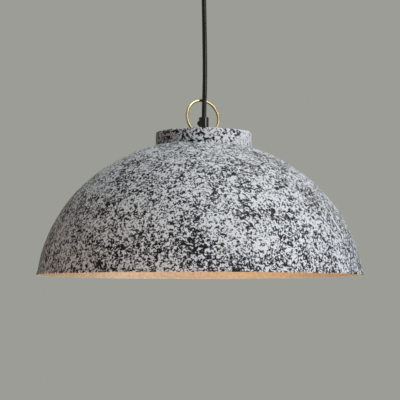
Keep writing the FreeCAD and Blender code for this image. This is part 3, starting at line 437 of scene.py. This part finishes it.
def makeDome():
    # the same ellipses as the CAD shell, with dips of up to 0.7 mm as hand-laid pulp has
    wide, high = dome["wide"], dome["high"]
    crown = math.acos(dome["opening"] / wide)
    lip = math.acos(domeRadius(dome["lip"]) / wide)
    outer = ellipse(wide, high, crown, lip, dome["outerSteps"])
    wide, high = wide - dome["wall"], high - dome["wall"]
    rimIn = math.asin(dome["cut"] / high)
    crownIn = math.acos(dome["opening"] / wide)
    inner = ellipse(wide, high, rimIn, crownIn, dome["innerSteps"])
    reach = domeRadius(0.0) + dome["lipReach"]
    corners = [
        (*outer[-1], 0),
        (reach, dome["lipEdge"], dome["lipRounding"]),
        (reach, 0.0, dome["lipRounding"]),
        (inner[0][0], 0.0, dome["innerRounding"]),
        (*inner[1], 0),
    ]
    edge = rounded(corners, dome["arcSteps"], closed=False)[1:-1]
    outline = np.array(outer + [tuple(p) for p in edge] + inner[1:])
    # the outside ends with the second of the lip's three arcs
    outsideSteps = len(outer) + 2 * dome["arcSteps"] + 1

    def shape(radius, height, angle):
        points = np.stack([radius * np.cos(angle), radius * np.sin(angle), height], -1).reshape(-1, 3)
        dips = lumps(points, dome["coarseDip"], dome["fineDip"]).reshape(radius.shape)
        outside = np.arange(len(outline))[:, None] < outsideSteps
        fade = np.clip((crownRise - height) / dome["crownFade"], 0, 1)
        push = dips * np.where(outside, 1, -dome["insideDip"]) * fade
        sink = np.where(outside & (height > dome["flatFoot"]), push * dome["dipDown"], 0)
        # the foot of the lip waves a little, because it was trimmed by hand
        few, many = dome["waves"]
        wave = dome["wave"] + dome["wave"] * np.sin(few * angle + dome["waveStart"]) * np.sin(many * angle)
        low = np.clip(1 - height / dome["waveHeight"], 0, 1)
        return radius - push * dome["dipInward"], height - sink + wave * low

    made = lathe(
        "domeSkin",
        outline,
        [domeFlecksAndShade, insideGold],
        around=dome["around"],
        centre=(-dome["shift"], 0, rimLevel),
        shape=shape,
        pick=lambda i: 0 if i < outsideSteps - 1 else 1,
    )
    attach(made, "pendant")
    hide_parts("shade_dome")


collar = {
    "radius": 67.6,
    "inside": 61.5,
    "rise": 10.3,  # above the disc's top
    "depth": 30,  # before its foot is fitted to the dome
    "outerRounding": 2.6,
    "outerFlat": 3,  # the straight outside ends this far below the top
    "innerRounding": 1.6,
    "innerFlat": 2,
    "edgeSteps": 7,
    "outerSteps": 26,
    "innerSteps": 16,
    "around": 320,
    "sunk": 1.0,  # how far the foot lies under the dome's skin
    "coarseDip": 0.7,
    "fineDip": 0.45,
    "dipInward": 0.9,
    "dipDown": 0.8,
    "insideDip": 0.6,
    "dipHeight": 3,  # only the top sinks, from this far below it
    "apart": 300,  # the step from the dome's lumps to the collar's
}


def makeCollar():
    # the glued-on band; its foot dips just under the dome's skin all round
    outerR, innerR, depth = collar["radius"], collar["inside"], collar["depth"]
    top = discTop + collar["rise"]
    corners = [
        (outerR, top - depth, 0),
        (outerR, top, collar["outerRounding"]),
        (innerR, top, collar["innerRounding"]),
        (innerR, top - depth, 0),
    ]
    edge = rounded(corners, collar["edgeSteps"], closed=False)[1:-1]
    climb = np.linspace(0, depth - collar["outerFlat"], collar["outerSteps"])[:-1]
    outer = [(outerR, top - depth + t) for t in climb]
    inner = [(innerR, top - t) for t in np.linspace(collar["innerFlat"], depth, collar["innerSteps"])]
    outline = np.array(outer + [tuple(p) for p in edge] + inner)

    def shape(radius, height, angle):
        x, y = radius * np.cos(angle) + dome["shift"], radius * np.sin(angle)
        rise = dome["high"] * np.sqrt(1 - (x * x + y * y) / dome["wide"] ** 2)
        seat = rimLevel + rise - dome["cut"] - collar["sunk"]
        # the band is squeezed so that its lowest ring lies on the dome
        share = np.clip((top - height) / depth, 0, 1)
        height = top - share * (top - seat)
        points = np.stack([x, y, height], -1).reshape(-1, 3)
        dips = lumps(points + collar["apart"], collar["coarseDip"], collar["fineDip"]).reshape(radius.shape)
        outward = np.where(radius > (outerR + innerR) / 2, -1.0, collar["insideDip"])
        sinking = np.clip((height - top + collar["dipHeight"]) / collar["dipHeight"], 0, 1)
        return radius + dips * outward * collar["dipInward"], height - dips * sinking * collar["dipDown"]

    made = lathe("collarSkin", outline, [collarFlecksAndShade], around=collar["around"], shape=shape)
    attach(made, "pendant")
    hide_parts("shade_collar")


makeDome()
makeCollar()
print("shade made")


# metals, plastics and the cord's braid; grain is the width of a mark, drawn coarse enough to show


metals = {
    # pale yellow wire, rubbed smooth
    "polishedBrass": {"colour": "D2C096", "roughness": 0.3, "grain": 2.4, "strength": 0.02},
    # deeper yellow with fine level rings
    "turnedBrass": {"colour": "CDA55C", "roughness": 0.27, "grain": 1.1, "stretch": 14},
    # dull silver, a little cloudy
    "zincPlate": {"colour": "B9BBB8", "roughness": 0.34, "grain": 1.6},
    # clear grey with faint level rings
    "brightSteel": {"colour": "B4B4B6", "roughness": 0.26, "grain": 0.9, "stretch": 6},
    # pale warm sheet with the brass showing through
    "nickelWashedBrass": {"colour": "CFC29A", "roughness": 0.24, "grain": 1.2, "stretch": 8},
    # light silver sheet with fine level lines
    "rolledAluminium": {"colour": "C9CACC", "roughness": 0.25, "grain": 1.0, "stretch": 10},
}
metalMarks = {"detail": 4.0, "depth": 0.03, "duller": 1.35, "glossier": 0.7, "darker": 0.85, "lighter": 1.1}


def metal(name, colour, roughness, grain, stretch=1, strength=0.25):
    # gives the eye a bare metal with fine marks; stretch draws them out level, as a turning tool does
    material, tree = newMaterial(name)
    place = addNode(tree, "ShaderNodeTexCoord", output="Object")
    drawn = addNode(tree, "ShaderNodeMapping", {}, {"Vector": place, "Scale": (1, 1, stretch)})
    pattern = {"Vector": drawn, "Scale": 1000 / grain, "Detail": metalMarks["detail"]}
    marks = addNode(tree, "ShaderNodeTexNoise", {}, pattern, "Fac")
    wear = {
        "Value": marks,
        "To Min": roughness * metalMarks["glossier"],
        "To Max": roughness * metalMarks["duller"],
    }
    tone = {"Value": marks, "To Min": metalMarks["darker"], "To Max": metalMarks["lighter"]}
    value = addNode(tree, "ShaderNodeMapRange", {}, tone)
    dents = {"Strength": strength, "Distance": metalMarks["depth"] * mm, "Height": marks}
    finishMaterial(
        tree,
        {
            "Base Color": addNode(
                tree, "ShaderNodeHueSaturation", {}, {"Color": toLinear(colour), "Value": value}
            ),
            "Metallic": 1.0,
            "Roughness": addNode(tree, "ShaderNodeMapRange", {}, wear),
            "Normal": addNode(tree, "ShaderNodeBump", {}, dents),
        },
    )
    return material


plains = {
    # moulded and polished, nearly a black mirror
    "glossyBlackPlastic": {"colour": "060607", "roughness": 0.12, "coat": 0.5, "shine": 0.3},
    # moulded in a spark-eroded mould, a soft black sheen
    "satinBlackPlastic": {"colour": "151517", "roughness": 0.36},
    # moulded, milky and a little waxy
    "naturalNylon": {"colour": "DEDBCF", "roughness": 0.42},
    # extruded, smooth brown and blue with a soft sheen
    "brownInsulation": {"colour": "5A3118", "roughness": 0.4},
    "blueInsulation": {"colour": "1F4E9C", "roughness": 0.4},
    # pressed and fired, white with a fine tooth
    "whitePorcelain": {"colour": "E4E1D8", "roughness": 0.5, "grain": 1.2, "depth": 0.06},
    # melted in place, smooth and glossy
    "blackGlass": {"colour": "0D0D0F", "roughness": 0.1, "coat": 0.6},
    # brushed on, matt black over the wood's grain
    "blackPaintedPlywood": {"colour": "1B1A19", "roughness": 0.6, "grain": 2.5, "depth": 0.15},
}
plainSkin = {"detail": 2.0, "strength": 0.2, "duller": 1.2, "glossier": 0.85, "coatRoughness": 0.08}


def plain(name, colour, roughness, grain=0.6, depth=0.02, coat=0.0, shine=0.5):
    # gives the eye a body of one colour with the faint texture of its mould, glaze or paint
    material, tree = newMaterial(name)
    place = addNode(tree, "ShaderNodeTexCoord", output="Object")
    pattern = {"Vector": place, "Scale": 1000 / grain, "Detail": plainSkin["detail"]}
    skin = addNode(tree, "ShaderNodeTexNoise", {}, pattern, "Fac")
    wear = {
        "Value": skin,
        "To Min": roughness * plainSkin["glossier"],
        "To Max": roughness * plainSkin["duller"],
    }
    dents = {"Strength": plainSkin["strength"], "Distance": depth * mm, "Height": skin}
    finishMaterial(
        tree,
        {
            "Base Color": toLinear(colour),
            "Roughness": addNode(tree, "ShaderNodeMapRange", {}, wear),
            "Specular IOR Level": shine,
            "Coat Weight": coat,
            "Coat Roughness": plainSkin["coatRoughness"],
            "Normal": addNode(tree, "ShaderNodeBump", {}, dents),
        },
    )
    return material


braid = {
    "colour": "08080A",
    "threads": 14.0,  # round the cord, each way
    "climb": 4300.0,  # radians in a metre, which puts a thread every 1.46 mm up the cord
    "strength": 0.3,
    "depth": 0.1,
    "glossy": 0.2,
    "dull": 0.27,
    "shine": 0.4,
}


def satinBraid():
    # gives the eye a tight satin braid, its threads crossing in small diamonds round the cord
    material, tree = newMaterial("satinBraid")
    place = addNode(tree, "ShaderNodeTexCoord", output="Object")
    axes = addNode(tree, "ShaderNodeSeparateXYZ", {}, {0: place}).node.outputs
    angle = addNode(tree, "ShaderNodeMath", {"operation": "ARCTAN2"}, {0: axes["Y"], 1: axes["X"]})
    ways = []
    for way in (braid["threads"], -braid["threads"]):
        turns = addNode(tree, "ShaderNodeMath", {"operation": "MULTIPLY"}, {0: angle, 1: way})
        phase = addNode(tree, "ShaderNodeMath", multiplyAdd, {0: axes["Z"], 1: braid["climb"], 2: turns})
        ways.append(addNode(tree, "ShaderNodeMath", {"operation": "SINE"}, {0: phase}))
    weave = addNode(tree, "ShaderNodeMath", {"operation": "MULTIPLY"}, {0: ways[0], 1: ways[1]})
    wear = {"Value": weave, "To Min": braid["glossy"], "To Max": braid["dull"]}
    dents = {"Strength": braid["strength"], "Distance": braid["depth"] * mm, "Height": weave}
    finishMaterial(
        tree,
        {
            "Base Color": toLinear(braid["colour"]),
            "Roughness": addNode(tree, "ShaderNodeMapRange", {}, wear),
            "Specular IOR Level": braid["shine"],
            "Normal": addNode(tree, "ShaderNodeBump", {}, dents),
        },
    )
    return material


opal = {
    "dim": "E9E7E1",
    "bright": "F3F1EC",
    "cloud": 25.0,
    "cloudDetail": 2.0,
    "dimAt": 0.3,
    "brightAt": 0.7,
    "roughness": 0.22,
    "milk": 0.3,
    "milkReach": 4.0,
    "coat": 0.6,
    "coatRoughness": 0.03,
}


def opalGlass():
    # gives the eye a milky globe that is bright and soft, under a thin clear skin
    material, tree = newMaterial("opalGlass")
    place = addNode(tree, "ShaderNodeTexCoord", output="Object")
    pattern = {"Vector": place, "Scale": 1000 / opal["cloud"], "Detail": opal["cloudDetail"]}
    cloud = addNode(tree, "ShaderNodeTexNoise", {}, pattern, "Fac")
    stops = [(opal["dimAt"], toLinear(opal["dim"])), (opal["brightAt"], toLinear(opal["bright"]))]
    finishMaterial(
        tree,
        {
            "Base Color": addNode(tree, "ShaderNodeValToRGB", {"stops": stops}, {"Fac": cloud}),
            "Roughness": opal["roughness"],
            "Subsurface Weight": opal["milk"],
            "Subsurface Radius": (opal["milkReach"] * mm,) * 3,
            "Coat Weight": opal["coat"],
            "Coat Roughness": opal["coatRoughness"],
        },
    )
    return material


paints = {name: metal(name, **look) for name, look in metals.items()}
paints.update({name: plain(name, **look) for name, look in plains.items()})
paints["satinBraid"] = satinBraid()
paints["opalGlass"] = opalGlass()

brokenEdge = {"width": 0.15, "segments": 2, "angle": 35}


def show(node, paint, bevel=brokenEdge["width"]):
    # a CAD piece shown as it is, in its own finish, with its sharp edges just broken
    piece = nodes[node]
    piece.data.materials.clear()
    piece.data.materials.append(paints[paint])
    if bevel:
        broken = piece.modifiers.new("brokenEdges", "BEVEL")
        broken.width = bevel * mm
        broken.segments = brokenEdge["segments"]
        broken.limit_method = "ANGLE"
        broken.angle_limit = math.radians(brokenEdge["angle"])
        broken.harden_normals = True


def add(piece, body, slot, *replaced):
    # a new piece moves with its body and stands for the CAD pieces that it replaces
    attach(piece, body)
    if replaced:
        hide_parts(*replaced)


ring = {
    "radius": 25.0,
    "wire": 2.1,  # radius of the wire
    "sink": 3.0,  # the hoop's foot is this far below the pivot
    "bend": 4.0,
    "pinStart": 5.7,
    "yaw": 28.7,
    "lean": 7.3,
    "pinSteps": 6,
    "bendSteps": 12,
    "hoopSteps": 120,
    "sides": 24,
}


def makeRing():
    # the wire runs in from its pin, round the bend, over the hoop and back
    big, bend = ring["radius"], ring["bend"]
    centreZ = big - ring["sink"]
    bendX = math.sqrt((big - bend) ** 2 - (centreZ - bend) ** 2)
    rise = math.atan2(bend - centreZ, bendX)
    bends = np.linspace(-math.pi / 2, rise, ring["bendSteps"])[:-1]
    hoops = np.linspace(rise, math.pi - rise, ring["hoopSteps"])
    right = [(x, 0) for x in np.linspace(ring["pinStart"], bendX, ring["pinSteps"])[:-1]]
    right += [(bendX + bend * math.cos(t), bend + bend * math.sin(t)) for t in bends]
    hoop = [(big * math.cos(t), centreZ + big * math.sin(t)) for t in hoops]
    left = [(-x, z) for x, z in reversed(right)]
    yaw = Matrix.Rotation(math.radians(ring["yaw"]), 4, "Z")
    turn = yaw @ Matrix.Rotation(-math.radians(ring["lean"]), 4, "X")
    points = [turn @ Vector((x, 0, z)) + Vector((0, 0, ringPivot)) for x, z in right + hoop + left]
    made = tube("brassRing", points, ring["wire"], [paints["polishedBrass"]], ring["sides"])
    add(made, "ring", "ring_brass", "hanging_ring")


grip = {
    "radius": 6.95,
    "bore": 3.45,
    "height": 18.3,
    "socket": 5.05,
    "socketDepth": 7.6,
    "topRounding": 0.9,
    "boreRounding": 0.4,
    "footRounding": 0.35,
    "socketRounding": 0.2,
    "around": 128,
}


def makeGrip():
    outline = rounded(
        [
            (grip["socket"], 0, grip["socketRounding"]),
            (grip["radius"], 0, grip["footRounding"]),
            (grip["radius"], grip["height"], grip["topRounding"]),
            (grip["bore"], grip["height"], grip["boreRounding"]),
            (grip["bore"], grip["socketDepth"], 0),
            (grip["socket"], grip["socketDepth"], 0),
        ]
    )
    black = [paints["glossyBlackPlastic"]]
    made = lathe("gripBarrel", outline, black, around=grip["around"], centre=(0, 0, gripFoot))
    add(made, "pendant", "black_plastic", "cord_grip")


screw = {
    "shank": 2.0,  # radius
    "tip": 3.35,  # the shank starts this far from the grip's axis
    "head": 3.4,  # radius
    # heights on the head, from the grip's outside
    "headStraight": 0.9,
    "shoulder": 2.1,
    "crown": 2.4,
    "slotMiddle": 2.3,
    "edge": 0.2,
    "headRounding": 1.0,
    "shoulderRounding": 1.2,
    "slot": (1.8, 0.9, 8),  # the cutter's height, width and length
    "slotTurn": 35,
    "around": 72,
}


def sideScrew(name, outside, body, replaced):
    # a round-headed plastic screw in the left side of a grip, with a driver's slot
    level = sum(ends(replaced)) / 2
    outline = rounded(
        [
            (0, screw["tip"], 0),
            (screw["shank"], screw["tip"], screw["edge"]),
            (screw["shank"], outside, 0),
            (screw["head"], outside, screw["edge"]),
            (screw["head"], outside + screw["headStraight"], screw["headRounding"]),
            (screw["shank"], outside + screw["shoulder"], screw["shoulderRounding"]),
            (0, outside + screw["crown"], 0),
        ],
        closed=False,
    )
    turn = Matrix.Rotation(-math.pi / 2, 4, "Y")
    black = [paints["glossyBlackPlastic"]]
    made = lathe(name, outline, black, screw["around"], (0, 0, level), turn, closed=False)
    slotPlace = (-(outside + screw["slotMiddle"]), 0, level)
    carve(made, screw["slot"], slotPlace, Matrix.Rotation(math.radians(screw["slotTurn"]), 4, "X"))
    add(made, body, "black_plastic", replaced)


makeRing()
makeGrip()
sideScrew("gripScrewHead", grip["radius"], "pendant", "cord_grip_screw")
print("ring and grip made")


# the cord's route is the one in the CAD model
cordRoute = [
    (0, 0, nutFoot - 10.5),
    (0, 0, gripTop + 2),
    (1.8, 0, gripTop + 52),
    (1.3, 0, gripTop + 108),
    (0, 0, swayPivot),
]
cordRadius = 3.25
cordSteps = {"side": 10, "length": 24, "shoulder": 8, "shoulderAround": 48}
shoulder = {"start": 0.2, "foot": 0.5}  # start is in radians


def makeCord():
    data = bpy.data.curves.new("braidedCord", "CURVE")
    data.dimensions = "3D"
    data.bevel_depth = cordRadius * mm
    data.bevel_resolution = cordSteps["side"]
    data.resolution_u = cordSteps["length"]
    data.use_fill_caps = True
    data.materials.append(paints["satinBraid"])
    spline = data.splines.new("NURBS")
    spline.points.add(len(cordRoute) - 1)
    for point, place in zip(spline.points, cordRoute):
        point.co = (*(Vector(place) * mm), 1)
    spline.order_u = 3
    spline.use_endpoint_u = True
    made = bpy.data.objects.new("braidedCord", data)
    bpy.context.scene.collection.objects.link(made)
    add(made, "pendant", "cord_textile", "cord")
    # a half ball on the cord's top stands for its bend in the outlet's mouth
    turns = np.linspace(shoulder["start"], math.pi / 2, cordSteps["shoulder"])
    ball = [(cordRadius * math.sin(t), cordRadius * math.cos(t)) for t in turns]
    cap = lathe(
        "cordShoulder",
        [(0, cordRadius)] + ball + [(0, -shoulder["foot"])],
        [paints["satinBraid"]],
        around=cordSteps["shoulderAround"],
        centre=(0, 0, swayPivot),
    )
    add(cap, "pendant", "cord_textile")


makeCord()
print("cord made")


ringsPerTurn = 14  # points up each turn of a thread


def thread(name, low, high, material, radius, depth, pitch, wall, around, rim=None):
    # a hollow round piece with a rolled or cut thread on its outside, its crest at radius;
    # a wall too thin to be cut is rolled, so its inside follows the thread
    rings = int((high - low) / pitch * ringsPerTurn)
    levels = np.linspace(low, high, rings)
    outline = [(radius, z) for z in levels] + [(radius - wall, z) for z in levels[::-1]]
    if rim:
        outline.insert(rings, rim)

    def shape(r, z, angle):
        phase = z / pitch - angle / (2 * math.pi)
        fade = np.clip((z - low) / pitch, 0, 1) * np.clip((high - z) / pitch, 0, 1)
        dip = depth * (0.5 - 0.5 * np.cos(2 * math.pi * phase)) * fade
        follows = r > radius - wall * 0.5 if wall > 2 * depth else np.ones_like(r, bool)
        return r - np.where(follows, dip, 0), z

    return lathe(name, outline, [material], around=around, shape=shape)


rod = {"radius": 5.0, "depth": 0.45, "pitch": 1.0, "wall": 1.0, "around": 48}


def makeHardware():
    made = thread("threadedTube", *ends("threaded_tube"), paints["zincPlate"], **rod)
    add(made, "pendant", "plated_steel", "threaded_tube")
    show("top_washer", "zincPlate", bevel=0.25)
    show("under_washer", "zincPlate", bevel=0.25)
    show("under_nut", "zincPlate")
    show("ring_boss", "turnedBrass")
    show("collar_disc", "blackPaintedPlywood", bevel=0.3)


makeHardware()
print("hardware made")


lampPitch = 3.629  # the pitch of the thread that the shell and the bulb's cap share

holder = {
    # corners as radius, height above the foot, and rounding
    "capCorners": [
        (17.5, 0, 0.3),
        (19.5, 0, 0.4),
        (19.5, 11, 4.0),
        (8.6, 18, 2.0),
        (8.6, 27, 0.8),
        (5.05, 27, 0.2),
        (5.05, 17, 0),
        (17.5, 10, 2.0),
    ],
    "skirtCorners": [
        (14.5, 0, 0.5),
        (18.6, 0, 0.8),
        (18.6, 25.6, 0.3),
        (19.5, 26.4, 0.3),
        (19.5, 34, 0.4),
        (17.6, 34, 0.2),
        (17.6, 27, 0),
        (14.5, 27, 0),
    ],
    "capAround": 128,
    "skirtAround": 480,
}
flutes = {
    "count": 24,
    "radius": 1.2,  # of the round cutter that runs up the skirt
    "out": 0.7,  # how far its middle is outside the skirt
    "low": 1.2,
    "high": 25,
    "outside": 18,  # only points beyond this radius are cut
    "levels": (1.5, 24.5, 10),  # from, to, and how many
}
holderShell = {"radius": 13.5, "depth": 0.45, "pitch": lampPitch, "wall": 0.45, "around": 96}
shellGap = 0.5  # between the shell's top and the insert


def makeHolder():
    black = [paints["satinBlackPlastic"]]
    made = lathe(
        "holderCap",
        rounded(holder["capCorners"]),
        black,
        around=holder["capAround"],
        centre=(0, 0, ends("holder_cap")[0]),
    )
    add(made, "pendant", "black_plastic", "holder_cap")
    skirt = rounded(holder["skirtCorners"])
    skirtRadius = holder["skirtCorners"][1][0]
    # the flutes need more levels of points along the skirt's side
    extra = [(skirtRadius, z) for z in np.linspace(*flutes["levels"])]
    at = next(i for i, corner in enumerate(skirt) if corner[1] > flutes["low"])
    skirt = np.insert(skirt, at, extra, 0)

    def cutFlutes(radius, height, angle):
        step = 2 * math.pi / flutes["count"]
        fluted = (height > flutes["low"]) & (height < flutes["high"]) & (radius > flutes["outside"])
        across = (angle + step / 2) % step - step / 2
        chord = flutes["radius"] ** 2 - (skirtRadius * across) ** 2
        groove = np.sqrt(np.clip(chord, flutes["out"] ** 2, None)) - flutes["out"]
        return radius - np.where(fluted, groove, 0), height

    made = lathe(
        "holderSkirt",
        skirt,
        black,
        around=holder["skirtAround"],
        centre=(0, 0, ends("holder_skirt")[0]),
        shape=cutFlutes,
    )
    add(made, "pendant", "black_plastic", "holder_skirt")
    low, high = ends("holder_shell")
    made = thread("holderShell", low, high - shellGap, paints["nickelWashedBrass"], **holderShell)
    add(made, "pendant", "shell_brass", "holder_shell")
    show("holder_insert", "whitePorcelain", bevel=0.3)
    show("holder_centre_contact", "turnedBrass", bevel=0.1)
    show("holder_grub_screw", "brightSteel", bevel=0.1)
    show("holder_terminal_screws", "brightSteel", bevel=0.2)
    show("holder_lead_live", "brownInsulation", bevel=0)
    show("holder_lead_neutral", "blueInsulation", bevel=0)


bulb = {
    "radius": 30.0,
    "neck": 12.2,  # radius
    "neckShows": 2,  # from the neck's foot up to the cap
    "neckLength": 5.5,
    "neckRounding": 12.0,
    "neckSteps": 12,
    "ballSteps": 48,
    "around": 128,
    "threadTop": 2.5,  # how far below the cap's top its thread ends
    "rimRadius": 10.2,
    "rimGap": 0.2,
}
bulbThread = {"radius": 12.7, "depth": 0.55, "pitch": lampPitch, "wall": 0.4, "around": 96}


def makeBulb():
    radius, neck = bulb["radius"], bulb["neck"]
    capFoot, capTop = ends("bulb_cap")
    bulbFoot = ends("bulb_glass")[0]
    neckFoot = capFoot - bulbFoot - bulb["neckShows"]
    neckTop = neckFoot + bulb["neckLength"]
    middle = np.array([0.0, radius])
    reach = np.array([neck, neckFoot]) - middle
    # the ball ends where a straight flank to the neck's foot touches it
    touch = math.atan2(reach[1], reach[0]) - math.acos(radius / np.linalg.norm(reach))
    turns = np.linspace(-math.pi / 2, touch, bulb["ballSteps"])
    ball = [middle + radius * np.array([math.cos(t), math.sin(t)]) for t in turns]
    corners = [(*ball[-1], 0), (neck, neckFoot, bulb["neckRounding"]), (neck, neckTop, 0)]
    bend = rounded(corners, bulb["neckSteps"], closed=False)[1:]
    outline = ball + list(bend) + [np.array([0.0, neckTop])]
    opalSkin = [paints["opalGlass"]]
    glass = lathe("bulbGlobe", outline, opalSkin, bulb["around"], centre=(0, 0, bulbFoot), closed=False)
    add(glass, "bulb", "bulb_glass", "bulb_glass")
    rim = (bulb["rimRadius"], capTop - bulb["rimGap"])
    threadTop = capTop - bulb["threadTop"]
    cap = thread("bulbCap", capFoot, threadTop, paints["rolledAluminium"], rim=rim, **bulbThread)
    add(cap, "bulb", "bulb_cap", "bulb_cap")
    show("bulb_insulator", "blackGlass", bevel=0.2)
    show("bulb_contact", "brightSteel", bevel=0.2)


makeHolder()
makeBulb()
print("lampholder and bulb made")


ceilingFitting = {
    # corners as radius, height above the foot, and rounding
    "canopyCorners": [
        (5.2, 0, 0.4),
        (50, 0, 9.0),
        (50, 45, 0.5),
        (48, 45, 0.4),
        (48, 2, 7.0),
        (5.2, 2, 0.2),
    ],
    "outletCorners": [
        (6.0, 0, 0.4),
        (7.2, 0, 0.3),
        (8, 3, 1.0),
        (8, 18, 0.4),
        (5, 18, 0),
        (5, 25.5, 0.3),
        (3.45, 25.5, 0.2),
        (3.45, 11.25, 0),
        (3.7, 8, 3.0),
    ],
    "outletRadius": 8.0,
    "canopyAround": 192,
    "outletAround": 128,
    "cornerSteps": 10,
}


def makeCeiling():
    made = lathe(
        "canopyCup",
        rounded(ceilingFitting["canopyCorners"], ceilingFitting["cornerSteps"]),
        [paints["satinBlackPlastic"]],
        around=ceilingFitting["canopyAround"],
        centre=(0, 0, ends("ceiling_canopy")[0]),
    )
    add(made, "ceiling", "canopy_plastic", "ceiling_canopy")
    made = lathe(
        "canopyOutlet",
        rounded(ceilingFitting["outletCorners"]),
        [paints["glossyBlackPlastic"]],
        around=ceilingFitting["outletAround"],
        centre=(0, 0, ends("canopy_grip")[0]),
    )
    add(made, "ceiling", "black_plastic", "canopy_grip")
    sideScrew("outletScrewHead", ceilingFitting["outletRadius"], "ceiling", "canopy_grip_screw")
    show("canopy_screws", "glossyBlackPlastic")
    show("canopy_grip_nut", "satinBlackPlastic")
    show("ceiling_bracket", "zincPlate", bevel=0.2)
    show("terminal_block", "naturalNylon", bevel=0.3)
    show("terminal_barrels", "turnedBrass", bevel=0.1)
    show("terminal_screws", "brightSteel")
    show("block_fixing_screw", "brightSteel")
    show("ceiling_lead_live", "brownInsulation", bevel=0)
    show("ceiling_lead_neutral", "blueInsulation", bevel=0)
    show("cord_end", "satinBraid", bevel=0)


makeCeiling()
print("ceiling fitting made")


room = {
    "floor": "C9C4BA",
    "floorRoughness": 0.9,
    "floorSeen": "94958E",  # what the floor adds for the eye and for mirrors, without lighting the lamp
    "floorReach": 9.0,  # in metres
    "floorLevel": -2.05,  # in metres
    "surround": "B9B6B0",
    "surroundStrength": 0.03,
    "backdrop": "9C9D96",
}


def seenRays(tree):
    # 1 for rays that come from the camera, a mirror or a glass, else 0
    path = addNode(tree, "ShaderNodeLightPath").node.outputs
    seen = path["Is Camera Ray"]
    for ray in ("Is Glossy Ray", "Is Transmission Ray"):
        seen = addNode(tree, "ShaderNodeMath", {"operation": "MAXIMUM"}, {0: seen, 1: path[ray]})
    return seen


def makeFloor():
    # gives the eye a pale plaster floor that keeps the lamp's shadow
    material, tree = newMaterial("palePlasterFloor")
    matt = {"Color": toLinear(room["floor"]), "Roughness": room["floorRoughness"]}
    lit = addNode(tree, "ShaderNodeBsdfDiffuse", {}, matt)
    seen = {"Color": toLinear(room["floorSeen"]), "Strength": seenRays(tree)}
    glow = addNode(tree, "ShaderNodeEmission", {}, seen)
    both = addNode(tree, "ShaderNodeAddShader", {}, {0: lit, 1: glow})
    addNode(tree, "ShaderNodeOutputMaterial", {}, {"Surface": both})
    reach, level = room["floorReach"], room["floorLevel"]
    corners = [(x * reach, y * reach, level) for x, y in ((-1, -1), (1, -1), (1, 1), (-1, 1))]
    meshObject("floor", corners, [(0, 1, 2, 3)], [material])


def makeWorld():
    # the surround lights the lamp only a little, and is seen as a plain pale backdrop
    world = bpy.data.worlds.new("surround")
    bpy.context.scene.world = world
    world.use_nodes = True
    tree = world.node_tree
    tree.nodes.clear()
    faint = {"Color": toLinear(room["surround"]), "Strength": room["surroundStrength"]}
    light = addNode(tree, "ShaderNodeBackground", {}, faint)
    shown = addNode(tree, "ShaderNodeBackground", {}, {"Color": toLinear(room["backdrop"]), "Strength": 1.0})
    mixed = addNode(tree, "ShaderNodeMixShader", {}, {0: seenRays(tree), 1: light, 2: shown})
    addNode(tree, "ShaderNodeOutputWorld", {}, {"Surface": mixed})


# places and sizes in metres, powers in watts; all of them face the lamp's middle
lampMiddle = (0, 0, -0.37)
lamps = {
    "windowLow": {"place": (1.75, -1.45, 0.2), "size": 0.9, "power": 13.6, "colour": "FFFFFF"},
    "windowHigh": {"place": (1.18, -1.25, 1.31), "size": 1.1, "power": 10.5, "colour": "FEFFF9"},
    "skylight": {"place": (0.5, -0.6, 1.6), "size": 1.2, "power": 18.5, "colour": "F3FCFF"},
    "tableGlow": {"place": (1.25, -0.9, -1.5), "size": 2.2, "power": 19.5, "colour": "DDE8FF"},
    "roomLeft": {"place": (-0.8, -0.9, -1.5), "size": 2.0, "power": 13.0, "colour": "FFE3CC"},
    "farWall": {"place": (0, 2.2, 0.35), "size": 1.4, "power": 36.0, "colour": "F6F3EC", "mirrored": False},
}


def addLamp(name, place, size, power, colour, mirrored=True):
    data = bpy.data.lights.new(name, "AREA")
    data.shape = "DISK"
    data.size = size
    data.energy = power
    data.color = toLinear(colour)[:3]
    lamp = bpy.data.objects.new(name, data)
    lamp.location = place
    aim = Vector(lampMiddle) - Vector(place)
    lamp.rotation_euler = aim.to_track_quat("-Z", "Y").to_euler()
    lamp.visible_camera = False
    lamp.visible_glossy = mirrored
    bpy.context.scene.collection.objects.link(lamp)


makeFloor()
makeWorld()
for lampName, values in lamps.items():
    addLamp(lampName, **values)
print("room lit")


# the camera stands where the photographer stood, a little below the rim, and looks slightly up
view = {
    "photoWide": 400,  # in pixels
    "focal": 1376,  # in pixels of the photo
    "sensor": 36,
    "left": 5.3,
    "back": 1911,
    "belowRim": 41.3,
    "tilt": 94.4,  # from straight down
}


def placeCamera():
    data = bpy.data.cameras.new("camera")
    data.sensor_width = view["sensor"]
    data.lens = view["focal"] / view["photoWide"] * view["sensor"]
    camera = bpy.data.objects.new("camera", data)
    camera.location = Vector((-view["left"], -view["back"], rimLevel - view["belowRim"])) * mm
    camera.rotation_euler = (math.radians(view["tilt"]), 0, 0)
    bpy.context.scene.collection.objects.link(camera)
    bpy.context.scene.camera = camera


placeCamera()
print("camera placed")

bpy.context.scene.view_settings.view_transform = "Standard"
